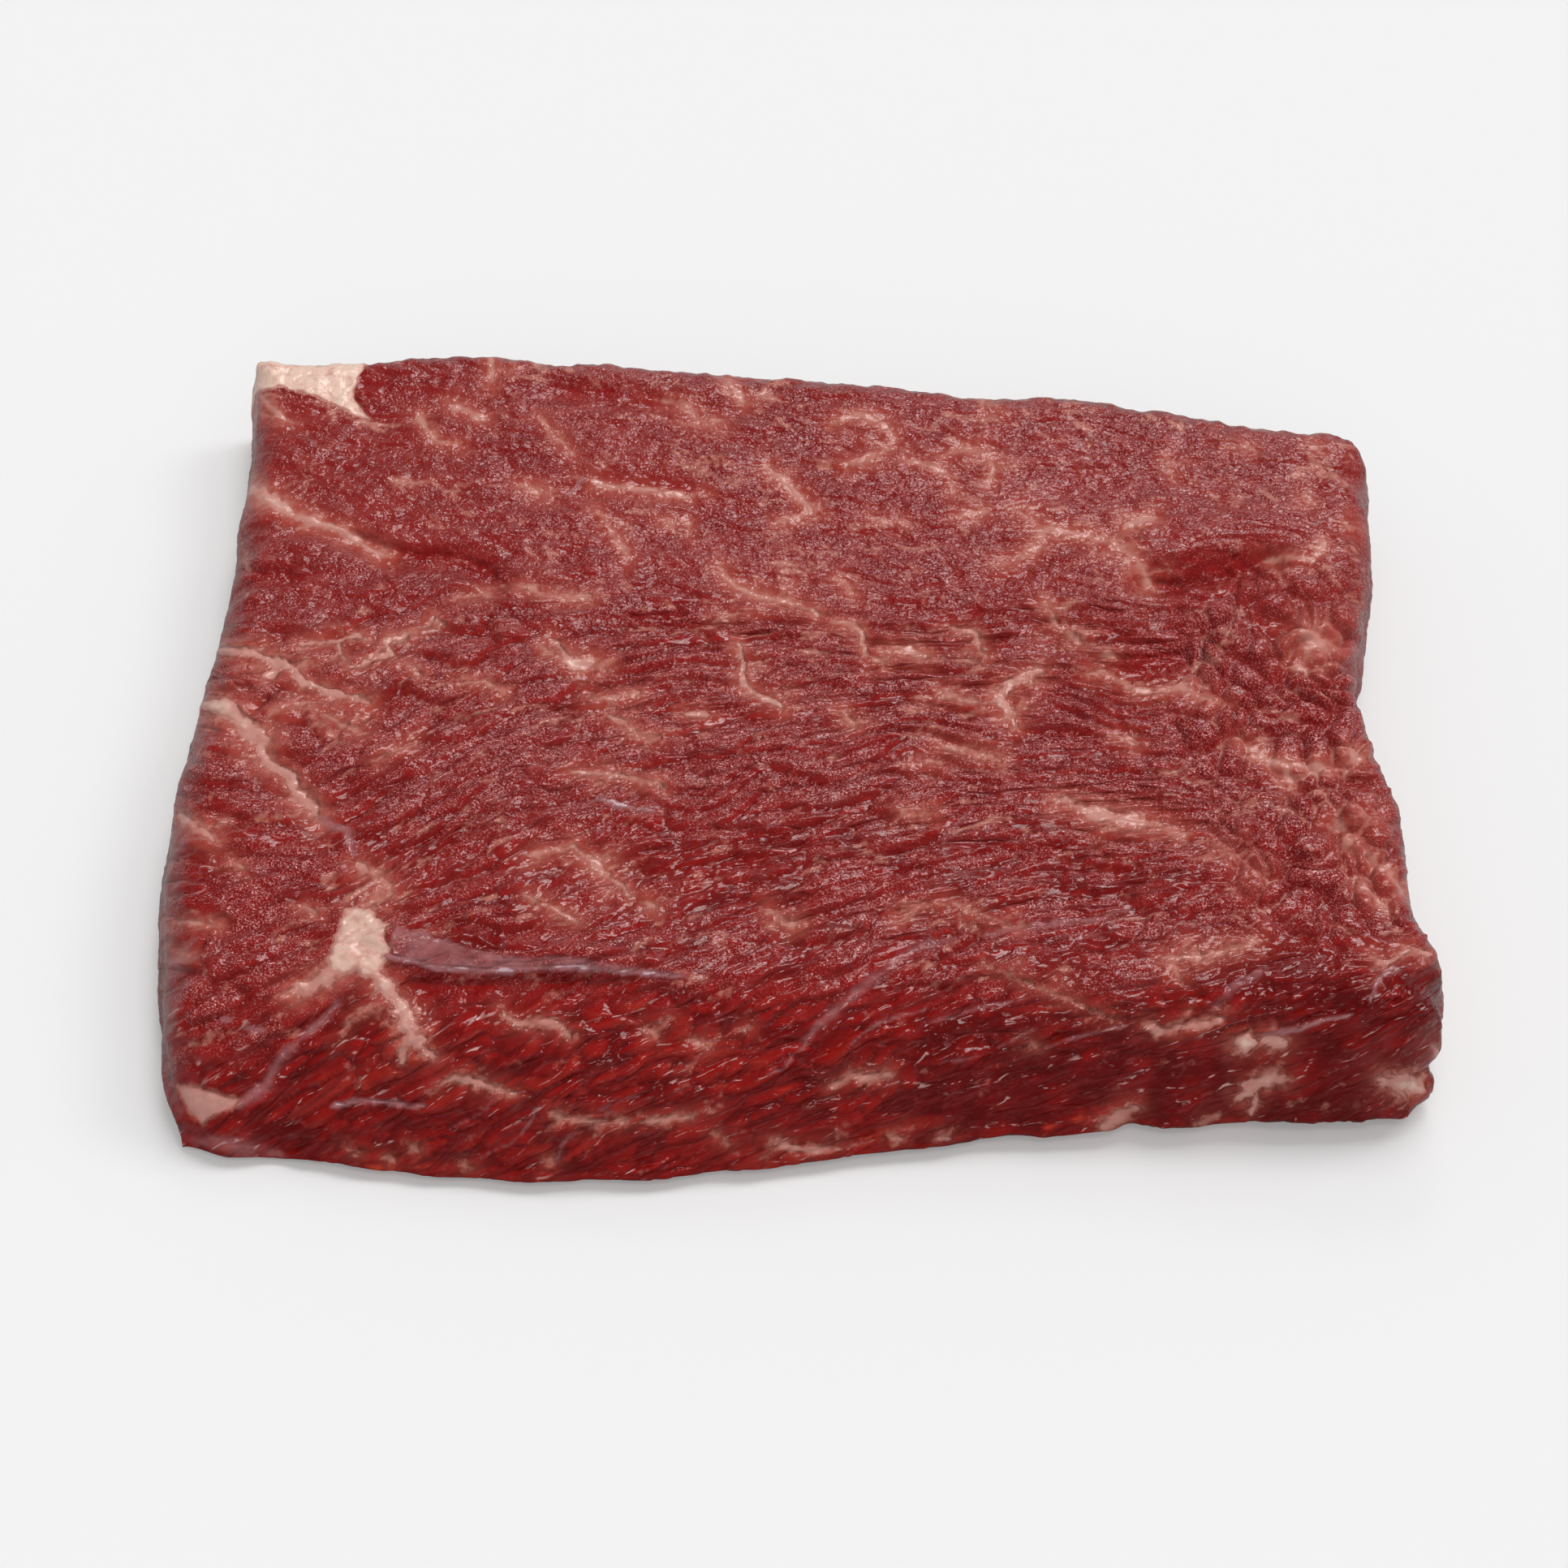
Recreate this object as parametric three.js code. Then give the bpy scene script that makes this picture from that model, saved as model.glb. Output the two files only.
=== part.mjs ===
// One raw denver steak: a broad slab of beef with a flat underside, a nearly level top, a long slope down
// to its front edge and short rounded shoulders on the other three sides.
// Millimetres. x runs left to right, y front to back, z up; the underside lies on z = 0.
import * as THREE from "three";

// The widest outline seen from above, side by side; neighbouring sides share their corner point.
const FRONT_EDGE = [
  [-85.6, -72.0],
  [-80.0, -74.4],
  [-72.0, -74.0],
  [-61.0, -75.7],
  [-48.0, -77.5],
  [-33.0, -78.7],
  [-20.0, -77.9],
  [-6.0, -76.2],
  [9.0, -73.6],
  [20.0, -72.3],
  [30.0, -70.6],
  [36.0, -70.6],
  [43.0, -69.8],
  [46.5, -68.8],
  [51.0, -69.8],
  [64.0, -68.8],
  [76.0, -68.6],
  [84.6, -68.4],
];
const RIGHT_EDGE = [
  [84.6, -68.4],
  [88.8, -64.6],
  [88.0, -60.0],
  [89.7, -56.5],
  [89.4, -52.0],
  [87.4, -47.0],
  [86.7, -42.0],
  [87.0, -33.0],
  [87.2, -23.0],
  [85.8, -16.5],
  [84.4, -9.0],
  [83.2, 5.0],
  [85.1, 15.0],
  [86.3, 21.0],
  [88.2, 31.0],
  [88.8, 40.0],
  [88.4, 46.0],
  [89.7, 53.0],
  [88.5, 58.2],
];
const BACK_EDGE = [
  [-87.4, 80.6],
  [-78.6, 79.8],
  [-70.8, 80.0],
  [-63.0, 81.4],
  [-55.2, 82.5],
  [-47.3, 81.4],
  [-39.4, 79.6],
  [-31.6, 80.0],
  [-23.7, 78.4],
  [-15.8, 77.5],
  [0.0, 76.4],
  [15.4, 73.8],
  [24.0, 72.0],
  [31.0, 70.6],
  [38.7, 70.6],
  [46.4, 69.8],
  [54.1, 68.0],
  [61.7, 66.0],
  [70.0, 63.8],
  [77.0, 62.8],
  [83.6, 61.4],
  [88.5, 58.2],
];
const LEFT_EDGE = [
  [-85.6, -72.0],
  [-87.0, -67.0],
  [-88.6, -61.2],
  [-89.6, -54.0],
  [-90.2, -46.0],
  [-91.2, -36.0],
  [-91.6, -26.0],
  [-91.7, -14.0],
  [-90.4, -4.0],
  [-89.6, 8.0],
  [-88.6, 16.0],
  [-87.8, 26.0],
  [-87.2, 36.0],
  [-87.5, 46.0],
  [-86.6, 53.0],
  [-86.4, 60.0],
  [-86.8, 71.0],
  [-87.4, 80.6],
];

// Height of the top above the underside at even stations; each row runs left to right, rows go front to back.
const SLAB_HEIGHT = [
  [18.5, 20.5, 21.0, 21.0, 21.5, 22.5],
  [18.5, 20.5, 21.0, 21.0, 21.5, 22.0],
  [17.5, 19.5, 20.5, 21.0, 21.5, 21.5],
  [17.0, 18.5, 19.5, 20.0, 20.5, 20.5],
];

// The rounded shoulder of each side at even stations: how far the top has dropped at the outline, over what
// length inside it, and how full the curve is (0 a gentle slope, 1 a quarter round).
const SHOULDERS = {
  front: {
    drop: [15.5, 16.5, 17.0, 17.0, 15.5, 11.5, 8.0],
    run: [22.0, 26.0, 26.0, 22.0, 17.0, 11.0, 6.0],
    full: [0.25, 0.25, 0.25, 0.35, 0.5, 0.7, 0.85],
  },
  back: {
    drop: [2.0, 4.5, 6.0, 6.0, 6.0, 4.5],
    run: [3.0, 6.0, 8.0, 8.0, 8.0, 6.0],
    full: [0.8, 0.8],
  },
  left: {
    drop: [10.0, 8.0, 8.0, 8.0, 6.0, 2.5],
    run: [12.0, 8.0, 7.0, 7.0, 6.0, 3.0],
    full: [0.7, 0.7],
  },
  right: {
    drop: [6.0, 5.0, 6.0, 6.0, 5.0, 5.0],
    run: [6.0, 5.0, 6.0, 7.0, 6.0, 5.0],
    full: [0.8, 0.8],
  },
};
const SHOULDER_BLEND = 3; // power that joins two shoulders at a corner

// The side wall from the shoulder down: share of the shoulder's height, and how far outside the outline.
const WALL = [
  [0.82, 0.5],
  [0.6, 0.9],
  [0.38, 0.8],
  [0.2, 0.1],
  [0.07, -1.2],
];
const UNDERSIDE_INSET = 3.2; // the flat underside ends this far inside the outline
const UNDERSIDE_REACH = 70; // at this distance from the middle the underside's inner points are inset as far

// Creases and hollows in the top: path, half width and depth. A negative depth is a ridge or a knob.
const CREASES = [
  { name: "left crease", path: [[-68, 35], [-61, 30], [-52, 29], [-46, 24]], half: 2.4, deep: 1.5 },
  { name: "short left crease", path: [[-86, 26], [-78, 26]], half: 1.8, deep: 0.8 },
  { name: "left upper seam", path: [[-85, 40], [-74, 37], [-62, 29]], half: 1.8, deep: 0.5 },
  { name: "right crevice", path: [[54, 22], [63, 24], [72, 28]], half: 3.0, deep: 2.8 },
  { name: "lobe behind the crevice", path: [[56, 31], [70, 34]], half: 5.5, deep: -1.1 },
  { name: "right pit", path: [[47, 3], [52, 4], [58, 7]], half: 3.4, deep: 2.2 },
  { name: "silver ridge", path: [[-57, -52], [-43, -54], [-30, -55], [-17, -58]], half: 2.2, deep: -1.5 },
  { name: "hollow under the ridge", path: [[-54, -60], [-43, -61], [-30, -61]], half: 3.2, deep: 1.7 },
  { name: "fat star", path: [[-62, -54], [-60, -49]], half: 4.2, deep: -1.1 },
  { name: "band groove", path: [[-73, -75], [-69, -69], [-64, -62]], half: 2.2, deep: 1.4 },
  { name: "fat arm", path: [[-58, -58], [-54, -63], [-52, -68]], half: 2.2, deep: -0.7 },
  { name: "long arc", path: [[-36, 9], [-29, 12], [-18, 13], [-4, 11]], half: 2.2, deep: 0.7 },
  { name: "left seam", path: [[-87, -4], [-81, -10], [-75, -19], [-69, -27]], half: 2.4, deep: 0.7 },
  { name: "left top seam", path: [[-86, 8], [-79, 6], [-73, 0], [-63, -4]], half: 2.0, deep: 0.5 },
  { name: "back strip", path: [[-39, 70], [-31, 68], [-21, 65]], half: 2.6, deep: 0.9 },
  { name: "right fold", path: [[38, -21], [46, -19], [55, -21]], half: 2.6, deep: -0.7 },
  { name: "fold shadow", path: [[38, -25], [50, -26], [58, -29]], half: 2.2, deep: 0.8 },
  { name: "ribbon groove", path: [[19, -51], [9, -60], [2, -68]], half: 2.6, deep: 0.8 },
  { name: "ribbon groove on", path: [[26, -50], [35, -47], [47, -45]], half: 2.4, deep: 0.6 },
  { name: "right knob", path: [[77, 10]], half: 2.4, deep: -1.2 },
  { name: "edge knob", path: [[80, -28]], half: 2.8, deep: -1.2 },
  { name: "dent on the right", path: [[81, -21]], half: 2.2, deep: 1.6 },
  { name: "front bulge", path: [[-30, -70], [-8, -70]], half: 7.0, deep: -0.8 },
  { name: "front hollow", path: [[22, -64], [38, -63]], half: 4.5, deep: 0.8 },
];

// Grooves round the side wall, each at a place on the outline and a height, pressed in toward the slab.
const WALL_DENTS = [
  { name: "corner notch", at: [85, -66], z: 8.5, half: 2.6, length: 6.5, deep: 2.2 },
  { name: "front undercut", at: [70, -67], z: 14.0, half: 2.2, length: 8.0, deep: 1.4 },
  { name: "front lip", at: [74, -67], z: 3.5, half: 2.4, length: 12.0, deep: -0.9 },
  { name: "left flap", at: [-80, -73], z: 1.6, half: 1.6, length: 9.0, deep: 0.9 },
  { name: "right membrane hollow", at: [83, -5], z: 12.0, half: 4.0, length: 7.0, deep: 1.2 },
];

// Uneven lumps and muscle bundles: size across, size along, angle to x in degrees, height and seed.
const LUMPS = [
  { name: "broad lumps", across: 24, along: 30, turn: 20, high: 1.1, seed: 11 },
  { name: "small lumps", across: 9, along: 13, turn: 12, high: 0.7, seed: 23 },
  { name: "muscle bundles", across: 4.6, along: 15, turn: 14, high: 0.55, seed: 37 },
];
// Lumps of the side wall: size along it, how much closer together they lie upward, height and seed.
const WALL_LUMPS = { size: 9, closer: 1.4, high: 1.3, seed: 51 };
const LUMP_START = 40; // lattice cells from the first lattice place to the z axis, so that all are above zero
const HASH_FACTORS = [374761393, 668265263, 1274126177, 2246822519]; // large odd numbers that mix the digits
const HASH_MIDDLE = 2147483647.5; // half the largest whole number that the mixing gives

// Mesh divisions: across, front to back, and the even crowding toward the rims.
const ACROSS = 64;
const DEEP = 56;
const CROWDING = 0.32;

// A smooth curve through the points, by share of its chord length.
function curveThrough(points, share) {
  const last = points.length - 1;
  const dims = points[0].length;
  const at = [0];
  for (let i = 1; i <= last; i++) {
    at.push(at[i - 1] + Math.hypot(...points[i].map((v, d) => v - points[i - 1][d])));
  }
  const t = THREE.MathUtils.clamp(share, 0, 1) * at[last];
  let i = 0;
  while (i < last - 1 && t > at[i + 1]) i++;
  const slope = (k, d) => {
    const from = Math.max(0, k - 1);
    const to = Math.min(last, k + 1);
    return (points[to][d] - points[from][d]) / (at[to] - at[from]);
  };
  const gap = at[i + 1] - at[i];
  const u = (t - at[i]) / gap;
  const out = [];
  for (let d = 0; d < dims; d++) {
    out.push(
      (2 * u ** 3 - 3 * u ** 2 + 1) * points[i][d] +
        (u ** 3 - 2 * u ** 2 + u) * gap * slope(i, d) +
        (3 * u ** 2 - 2 * u ** 3) * points[i + 1][d] +
        (u ** 3 - u ** 2) * gap * slope(i + 1, d),
    );
  }
  return out;
}

// Length of a row of stations, long beside the values on it so that they hardly change its spacing.
const STATION_ROW = 1000;

// A smooth value through evenly spaced stations.
function stationValue(values, share) {
  const last = values.length - 1;
  return curveThrough(
    values.map((v, i) => [(i / last) * STATION_ROW, v]),
    shareOfStations(values, share),
  )[1];
}

// The share of chord length at which the station curve reaches the wanted share of its stations.
function shareOfStations(values, share) {
  const last = values.length - 1;
  const at = [0];
  for (let i = 1; i <= last; i++) {
    at.push(at[i - 1] + Math.hypot(STATION_ROW / last, values[i] - values[i - 1]));
  }
  const s = THREE.MathUtils.clamp(share, 0, 1) * last;
  const i = Math.min(last - 1, Math.floor(s));
  return (at[i] + (s - i) * (at[i + 1] - at[i])) / at[last];
}

// A smooth value over a table of stations, rows front to back.
function tableValue(table, a, b) {
  const last = table.length - 1;
  const y = THREE.MathUtils.clamp(b, 0, 1) * last;
  const i = Math.min(last - 1, Math.floor(y));
  const u = THREE.MathUtils.smoothstep(y - i, 0, 1);
  return stationValue(table[i], a) * (1 - u) + stationValue(table[i + 1], a) * u;
}

// A whole-number hash of a lattice place, as a value from -1 to 1.
function latticeValue(i, j, seed) {
  const [first, second, third, fourth] = HASH_FACTORS;
  let h = Math.imul(i, first) ^ Math.imul(j, second) ^ Math.imul(seed, third);
  h = Math.imul(h ^ (h >>> 13), third);
  h = Math.imul(h ^ (h >>> 16), fourth);
  return ((h ^ (h >>> 15)) >>> 0) / HASH_MIDDLE - 1;
}

// Smooth random unevenness with one lattice cell per unit.
function unevenness(x, y, seed) {
  const i = Math.floor(x);
  const j = Math.floor(y);
  const u = (x - i) * (x - i) * (3 - 2 * (x - i));
  const v = (y - j) * (y - j) * (3 - 2 * (y - j));
  const low = latticeValue(i, j, seed) * (1 - u) + latticeValue(i + 1, j, seed) * u;
  const high = latticeValue(i, j + 1, seed) * (1 - u) + latticeValue(i + 1, j + 1, seed) * u;
  return low * (1 - v) + high * v;
}

// Distance in plan from a point to a path of one or more points.
function distanceToPath(x, y, path) {
  let best = Math.hypot(x - path[0][0], y - path[0][1]);
  for (let i = 1; i < path.length; i++) {
    const [ax, ay] = path[i - 1];
    const [bx, by] = [path[i][0] - ax, path[i][1] - ay];
    const t = THREE.MathUtils.clamp(((x - ax) * bx + (y - ay) * by) / (bx * bx + by * by), 0, 1);
    best = Math.min(best, Math.hypot(x - ax - t * bx, y - ay - t * by));
  }
  return best;
}

// Place in plan for a share across and a share front to back, blended from the four sides.
function planPlace(a, b) {
  const front = curveThrough(FRONT_EDGE, a);
  const back = curveThrough(BACK_EDGE, a);
  const left = curveThrough(LEFT_EDGE, b);
  const right = curveThrough(RIGHT_EDGE, b);
  const corner = [FRONT_EDGE[0], FRONT_EDGE.at(-1), BACK_EDGE[0], BACK_EDGE.at(-1)];
  const place = [0, 1].map(
    (d) =>
      (1 - b) * front[d] +
      b * back[d] +
      (1 - a) * left[d] +
      a * right[d] -
      (1 - a) * (1 - b) * corner[0][d] -
      a * (1 - b) * corner[1][d] -
      (1 - a) * b * corner[2][d] -
      a * b * corner[3][d],
  );
  const depth = Math.hypot(back[0] - front[0], back[1] - front[1]);
  const width = Math.hypot(right[0] - left[0], right[1] - left[1]);
  return { place, depth, width };
}

// How far a shoulder has dropped at a distance inside the outline.
function shoulderDrop(side, share, inside) {
  const t = 1 - THREE.MathUtils.clamp(inside / stationValue(side.run, share), 0, 1);
  const full = stationValue(side.full, share);
  const curve = full * (1 - Math.sqrt(1 - t * t)) + (1 - full) * t * t;
  return stationValue(side.drop, share) * curve;
}

// Creases, knobs, lumps and bundles of the top at a place in plan.
function relief(x, y) {
  let h = 0;
  for (const c of CREASES) {
    const d = distanceToPath(x, y, c.path) / c.half;
    h -= c.deep * Math.exp(-d * d);
  }
  for (const l of LUMPS) {
    const turn = THREE.MathUtils.degToRad(l.turn);
    const along = (x * Math.cos(turn) + y * Math.sin(turn)) / l.along;
    const across = (y * Math.cos(turn) - x * Math.sin(turn)) / l.across;
    h += (l.high / 2) * unevenness(along + LUMP_START, across + LUMP_START, l.seed);
  }
  return h;
}

// One point of the top, in space.
function topPoint(a, b) {
  const { place, depth, width } = planPlace(a, b);
  const drops = [
    shoulderDrop(SHOULDERS.front, a, b * depth),
    shoulderDrop(SHOULDERS.back, a, (1 - b) * depth),
    shoulderDrop(SHOULDERS.left, b, a * width),
    shoulderDrop(SHOULDERS.right, b, (1 - a) * width),
  ];
  const drop = drops.reduce((sum, d) => sum + d ** SHOULDER_BLEND, 0) ** (1 / SHOULDER_BLEND);
  const z = tableValue(SLAB_HEIGHT, a, b) - drop + relief(place[0], place[1]);
  return new THREE.Vector3(place[0], place[1], z);
}

// Even steps crowded toward both ends.
function crowded(i, count) {
  const t = i / count;
  return t - (CROWDING / (2 * Math.PI)) * Math.sin(2 * Math.PI * t);
}

// 1 at half height of the wall, falling to 0 at its top and bottom.
function midway(share) {
  return 4 * share * (1 - share);
}

// Outward push of the wall at a place and height, from lumps and dents.
function wallPush(x, y, z) {
  const round = (x + y) / WALL_LUMPS.size + LUMP_START;
  const up = (z * WALL_LUMPS.closer + x - y) / WALL_LUMPS.size + LUMP_START;
  let push = (WALL_LUMPS.high / 2) * unevenness(round, up, WALL_LUMPS.seed);
  for (const dent of WALL_DENTS) {
    const along = Math.hypot(x - dent.at[0], y - dent.at[1]) / dent.length;
    const above = (z - dent.z) / dent.half;
    push -= dent.deep * Math.exp(-along * along - above * above);
  }
  return push;
}

function buildSteak() {
  const points = [];
  const faces = [];
  const face = (i, j, k) => faces.push(i, j, k);
  const gridIndex = (i, j) => j * (ACROSS + 1) + i;

  // Top
  for (let j = 0; j <= DEEP; j++) {
    for (let i = 0; i <= ACROSS; i++) {
      points.push(topPoint(crowded(i, ACROSS), crowded(j, DEEP)));
    }
  }
  for (let j = 0; j < DEEP; j++) {
    for (let i = 0; i < ACROSS; i++) {
      const [p, q] = [gridIndex(i, j), gridIndex(i + 1, j)];
      const [r, s] = [gridIndex(i + 1, j + 1), gridIndex(i, j + 1)];
      if (i < ACROSS / 2 === j < DEEP / 2) {
        face(p, q, r);
        face(p, r, s);
      } else {
        face(p, q, s);
        face(q, r, s);
      }
    }
  }

  // Outline of the top, counterclockwise from the front left corner
  const rim = [];
  for (let i = 0; i < ACROSS; i++) rim.push(gridIndex(i, 0));
  for (let j = 0; j < DEEP; j++) rim.push(gridIndex(ACROSS, j));
  for (let i = ACROSS; i > 0; i--) rim.push(gridIndex(i, DEEP));
  for (let j = DEEP; j > 0; j--) rim.push(gridIndex(0, j));
  const count = rim.length;
  const outward = rim.map((_, k) => {
    const before = points[rim[(k + count - 1) % count]];
    const after = points[rim[(k + 1) % count]];
    return new THREE.Vector2(after.y - before.y, before.x - after.x).normalize();
  });

  // Side wall
  let ring = rim;
  for (const [share, offset] of WALL) {
    const next = rim.map((index, k) => {
      const p = points[index];
      const z = p.z * share;
      const out = offset + wallPush(p.x, p.y, z) * midway(share);
      points.push(new THREE.Vector3(p.x + outward[k].x * out, p.y + outward[k].y * out, z));
      return points.length - 1;
    });
    for (let k = 0; k < count; k++) {
      const l = (k + 1) % count;
      face(ring[k], next[k], next[l]);
      face(ring[k], next[l], ring[l]);
    }
    ring = next;
  }

  // Flat underside: half as many divisions, joined to the wall by one row
  const bottom = [];
  const halfAcross = ACROSS / 2;
  const halfDeep = DEEP / 2;
  for (let k = 0; k < count; k += 2) {
    const p = points[rim[k]];
    const x = p.x - outward[k].x * UNDERSIDE_INSET;
    const y = p.y - outward[k].y * UNDERSIDE_INSET;
    points.push(new THREE.Vector3(x, y, 0));
    bottom.push(points.length - 1);
  }
  const half = bottom.length;
  for (let k = 0; k < half; k++) {
    const l = (k + 1) % half;
    const middle = ring[2 * k + 1];
    face(ring[2 * k], bottom[k], middle);
    face(middle, bottom[k], bottom[l]);
    face(middle, bottom[l], ring[(2 * k + 2) % count]);
  }
  const shrink = 1 - UNDERSIDE_INSET / UNDERSIDE_REACH;
  const under = (i, j) => {
    if (j === 0) return bottom[i];
    if (i === halfAcross) return bottom[halfAcross + j];
    if (j === halfDeep) return bottom[halfAcross + halfDeep + (halfAcross - i)];
    if (i === 0) return bottom[(2 * halfAcross + halfDeep + (halfDeep - j)) % half];
    return inner[(j - 1) * (halfAcross - 1) + (i - 1)];
  };
  const inner = [];
  for (let j = 1; j < halfDeep; j++) {
    for (let i = 1; i < halfAcross; i++) {
      const p = points[gridIndex(2 * i, 2 * j)];
      points.push(new THREE.Vector3(p.x * shrink, p.y * shrink, 0));
      inner.push(points.length - 1);
    }
  }
  for (let j = 0; j < halfDeep; j++) {
    for (let i = 0; i < halfAcross; i++) {
      const [p, q, r, s] = [under(i, j), under(i + 1, j), under(i + 1, j + 1), under(i, j + 1)];
      if (i < halfAcross / 2 === j < halfDeep / 2) {
        face(p, r, q);
        face(p, s, r);
      } else {
        face(p, s, q);
        face(q, s, r);
      }
    }
  }

  const geometry = new THREE.BufferGeometry();
  const places = points.flatMap((p) => [p.x, p.y, p.z]);
  geometry.setAttribute("position", new THREE.Float32BufferAttribute(places, 3));
  geometry.setIndex(faces);
  // Middle of the width and depth on the z axis
  geometry.computeBoundingBox();
  const middle = geometry.boundingBox.getCenter(new THREE.Vector3());
  geometry.translate(-middle.x, -middle.y, 0);
  geometry.computeVertexNormals();
  return geometry;
}

const beef = new THREE.MeshStandardMaterial({ color: 0x8a3334, roughness: 0.38, metalness: 0 });
const steak = new THREE.Mesh(buildSteak(), beef);
steak.name = "denver_steak";

const part = new THREE.Group();
part.name = "denver_steak_group";
part.add(steak);

export default part;
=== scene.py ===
"""A raw denver steak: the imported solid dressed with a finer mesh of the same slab, with its grain,
marbling and silver skin."""

import bpy
import numpy as np
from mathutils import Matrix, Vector


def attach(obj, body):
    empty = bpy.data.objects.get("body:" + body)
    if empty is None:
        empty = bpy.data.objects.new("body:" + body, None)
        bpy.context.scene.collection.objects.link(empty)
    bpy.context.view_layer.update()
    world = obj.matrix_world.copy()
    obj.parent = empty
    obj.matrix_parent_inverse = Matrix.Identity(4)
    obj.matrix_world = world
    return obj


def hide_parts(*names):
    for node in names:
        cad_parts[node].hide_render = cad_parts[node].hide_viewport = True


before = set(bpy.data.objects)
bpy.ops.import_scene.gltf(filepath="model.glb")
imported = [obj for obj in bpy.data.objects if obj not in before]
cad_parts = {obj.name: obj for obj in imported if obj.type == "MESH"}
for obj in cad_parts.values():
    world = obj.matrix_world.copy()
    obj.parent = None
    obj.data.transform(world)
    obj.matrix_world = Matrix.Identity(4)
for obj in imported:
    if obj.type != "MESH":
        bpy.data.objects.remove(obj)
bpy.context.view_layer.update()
MM = 0.001

# The photograph's camera, in millimetres and degrees, and its frame in pixels
LENS = 100.0
SENSOR = 36.0
ELEVATION = 45.0
DISTANCE = 645.0
TARGET = (-0.98, -11.91, 10.0)
PHOTO_SIDE = 1932

# Large form, in millimetres: the same named sizes as the solid
FRONT_EDGE = [
    (-85.6, -72.0), (-80.0, -74.4), (-72.0, -74.0), (-61.0, -75.7), (-48.0, -77.5), (-33.0, -78.7),
    (-20.0, -77.9), (-6.0, -76.2), (9.0, -73.6), (20.0, -72.3), (30.0, -70.6), (36.0, -70.6), (43.0, -69.8),
    (46.5, -68.8), (51.0, -69.8), (64.0, -68.8), (76.0, -68.6), (84.6, -68.4),
]
RIGHT_EDGE = [
    (84.6, -68.4), (88.8, -64.6), (88.0, -60.0), (89.7, -56.5), (89.4, -52.0), (87.4, -47.0), (86.7, -42.0),
    (87.0, -33.0), (87.2, -23.0), (85.8, -16.5), (84.4, -9.0), (83.2, 5.0), (85.1, 15.0), (86.3, 21.0),
    (88.2, 31.0), (88.8, 40.0), (88.4, 46.0), (89.7, 53.0), (88.5, 58.2),
]
BACK_EDGE = [
    (-87.4, 80.6), (-78.6, 79.8), (-70.8, 80.0), (-63.0, 81.4), (-55.2, 82.5), (-47.3, 81.4), (-39.4, 79.6),
    (-31.6, 80.0), (-23.7, 78.4), (-15.8, 77.5), (0.0, 76.4), (15.4, 73.8), (24.0, 72.0), (31.0, 70.6),
    (38.7, 70.6), (46.4, 69.8), (54.1, 68.0), (61.7, 66.0), (70.0, 63.8), (77.0, 62.8), (83.6, 61.4),
    (88.5, 58.2),
]
LEFT_EDGE = [
    (-85.6, -72.0), (-87.0, -67.0), (-88.6, -61.2), (-89.6, -54.0), (-90.2, -46.0), (-91.2, -36.0),
    (-91.6, -26.0), (-91.7, -14.0), (-90.4, -4.0), (-89.6, 8.0), (-88.6, 16.0), (-87.8, 26.0), (-87.2, 36.0),
    (-87.5, 46.0), (-86.6, 53.0), (-86.4, 60.0), (-86.8, 71.0), (-87.4, 80.6),
]
# Height of the top at even stations, rows front to back
SLAB_HEIGHT = [[18.5, 20.5, 21.0, 21.0, 21.5, 22.5],
               [18.5, 20.5, 21.0, 21.0, 21.5, 22.0],
               [17.5, 19.5, 20.5, 21.0, 21.5, 21.5],
               [17.0, 18.5, 19.5, 20.0, 20.5, 20.5]]
# Shoulders at even stations along each side: how far they drop, how wide they are, and how round
SHOULDERS = {
    "front": {"drop": [15.5, 16.5, 17.0, 17.0, 15.5, 11.5, 8.0],
              "run": [22.0, 26.0, 26.0, 22.0, 17.0, 11.0, 6.0],
              "full": [0.25, 0.25, 0.25, 0.35, 0.5, 0.7, 0.85]},
    "back": {"drop": [2.0, 4.5, 6.0, 6.0, 6.0, 4.5], "run": [3.0, 6.0, 8.0, 8.0, 8.0, 6.0],
             "full": [0.8, 0.8]},
    "left": {"drop": [10.0, 8.0, 8.0, 8.0, 6.0, 2.5], "run": [12.0, 8.0, 7.0, 7.0, 6.0, 3.0],
             "full": [0.7, 0.7]},
    "right": {"drop": [6.0, 5.0, 6.0, 6.0, 5.0, 5.0], "run": [6.0, 5.0, 6.0, 7.0, 6.0, 5.0],
              "full": [0.8, 0.8]},
}
SHOULDER_BLEND = 3
# Wall from the rim down: share of the rim's height, and how far it stands out there
WALL = [(0.82, 0.5), (0.6, 0.9), (0.38, 0.8), (0.2, 0.1), (0.07, -1.2)]
UNDERSIDE_INSET = 3.2
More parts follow.
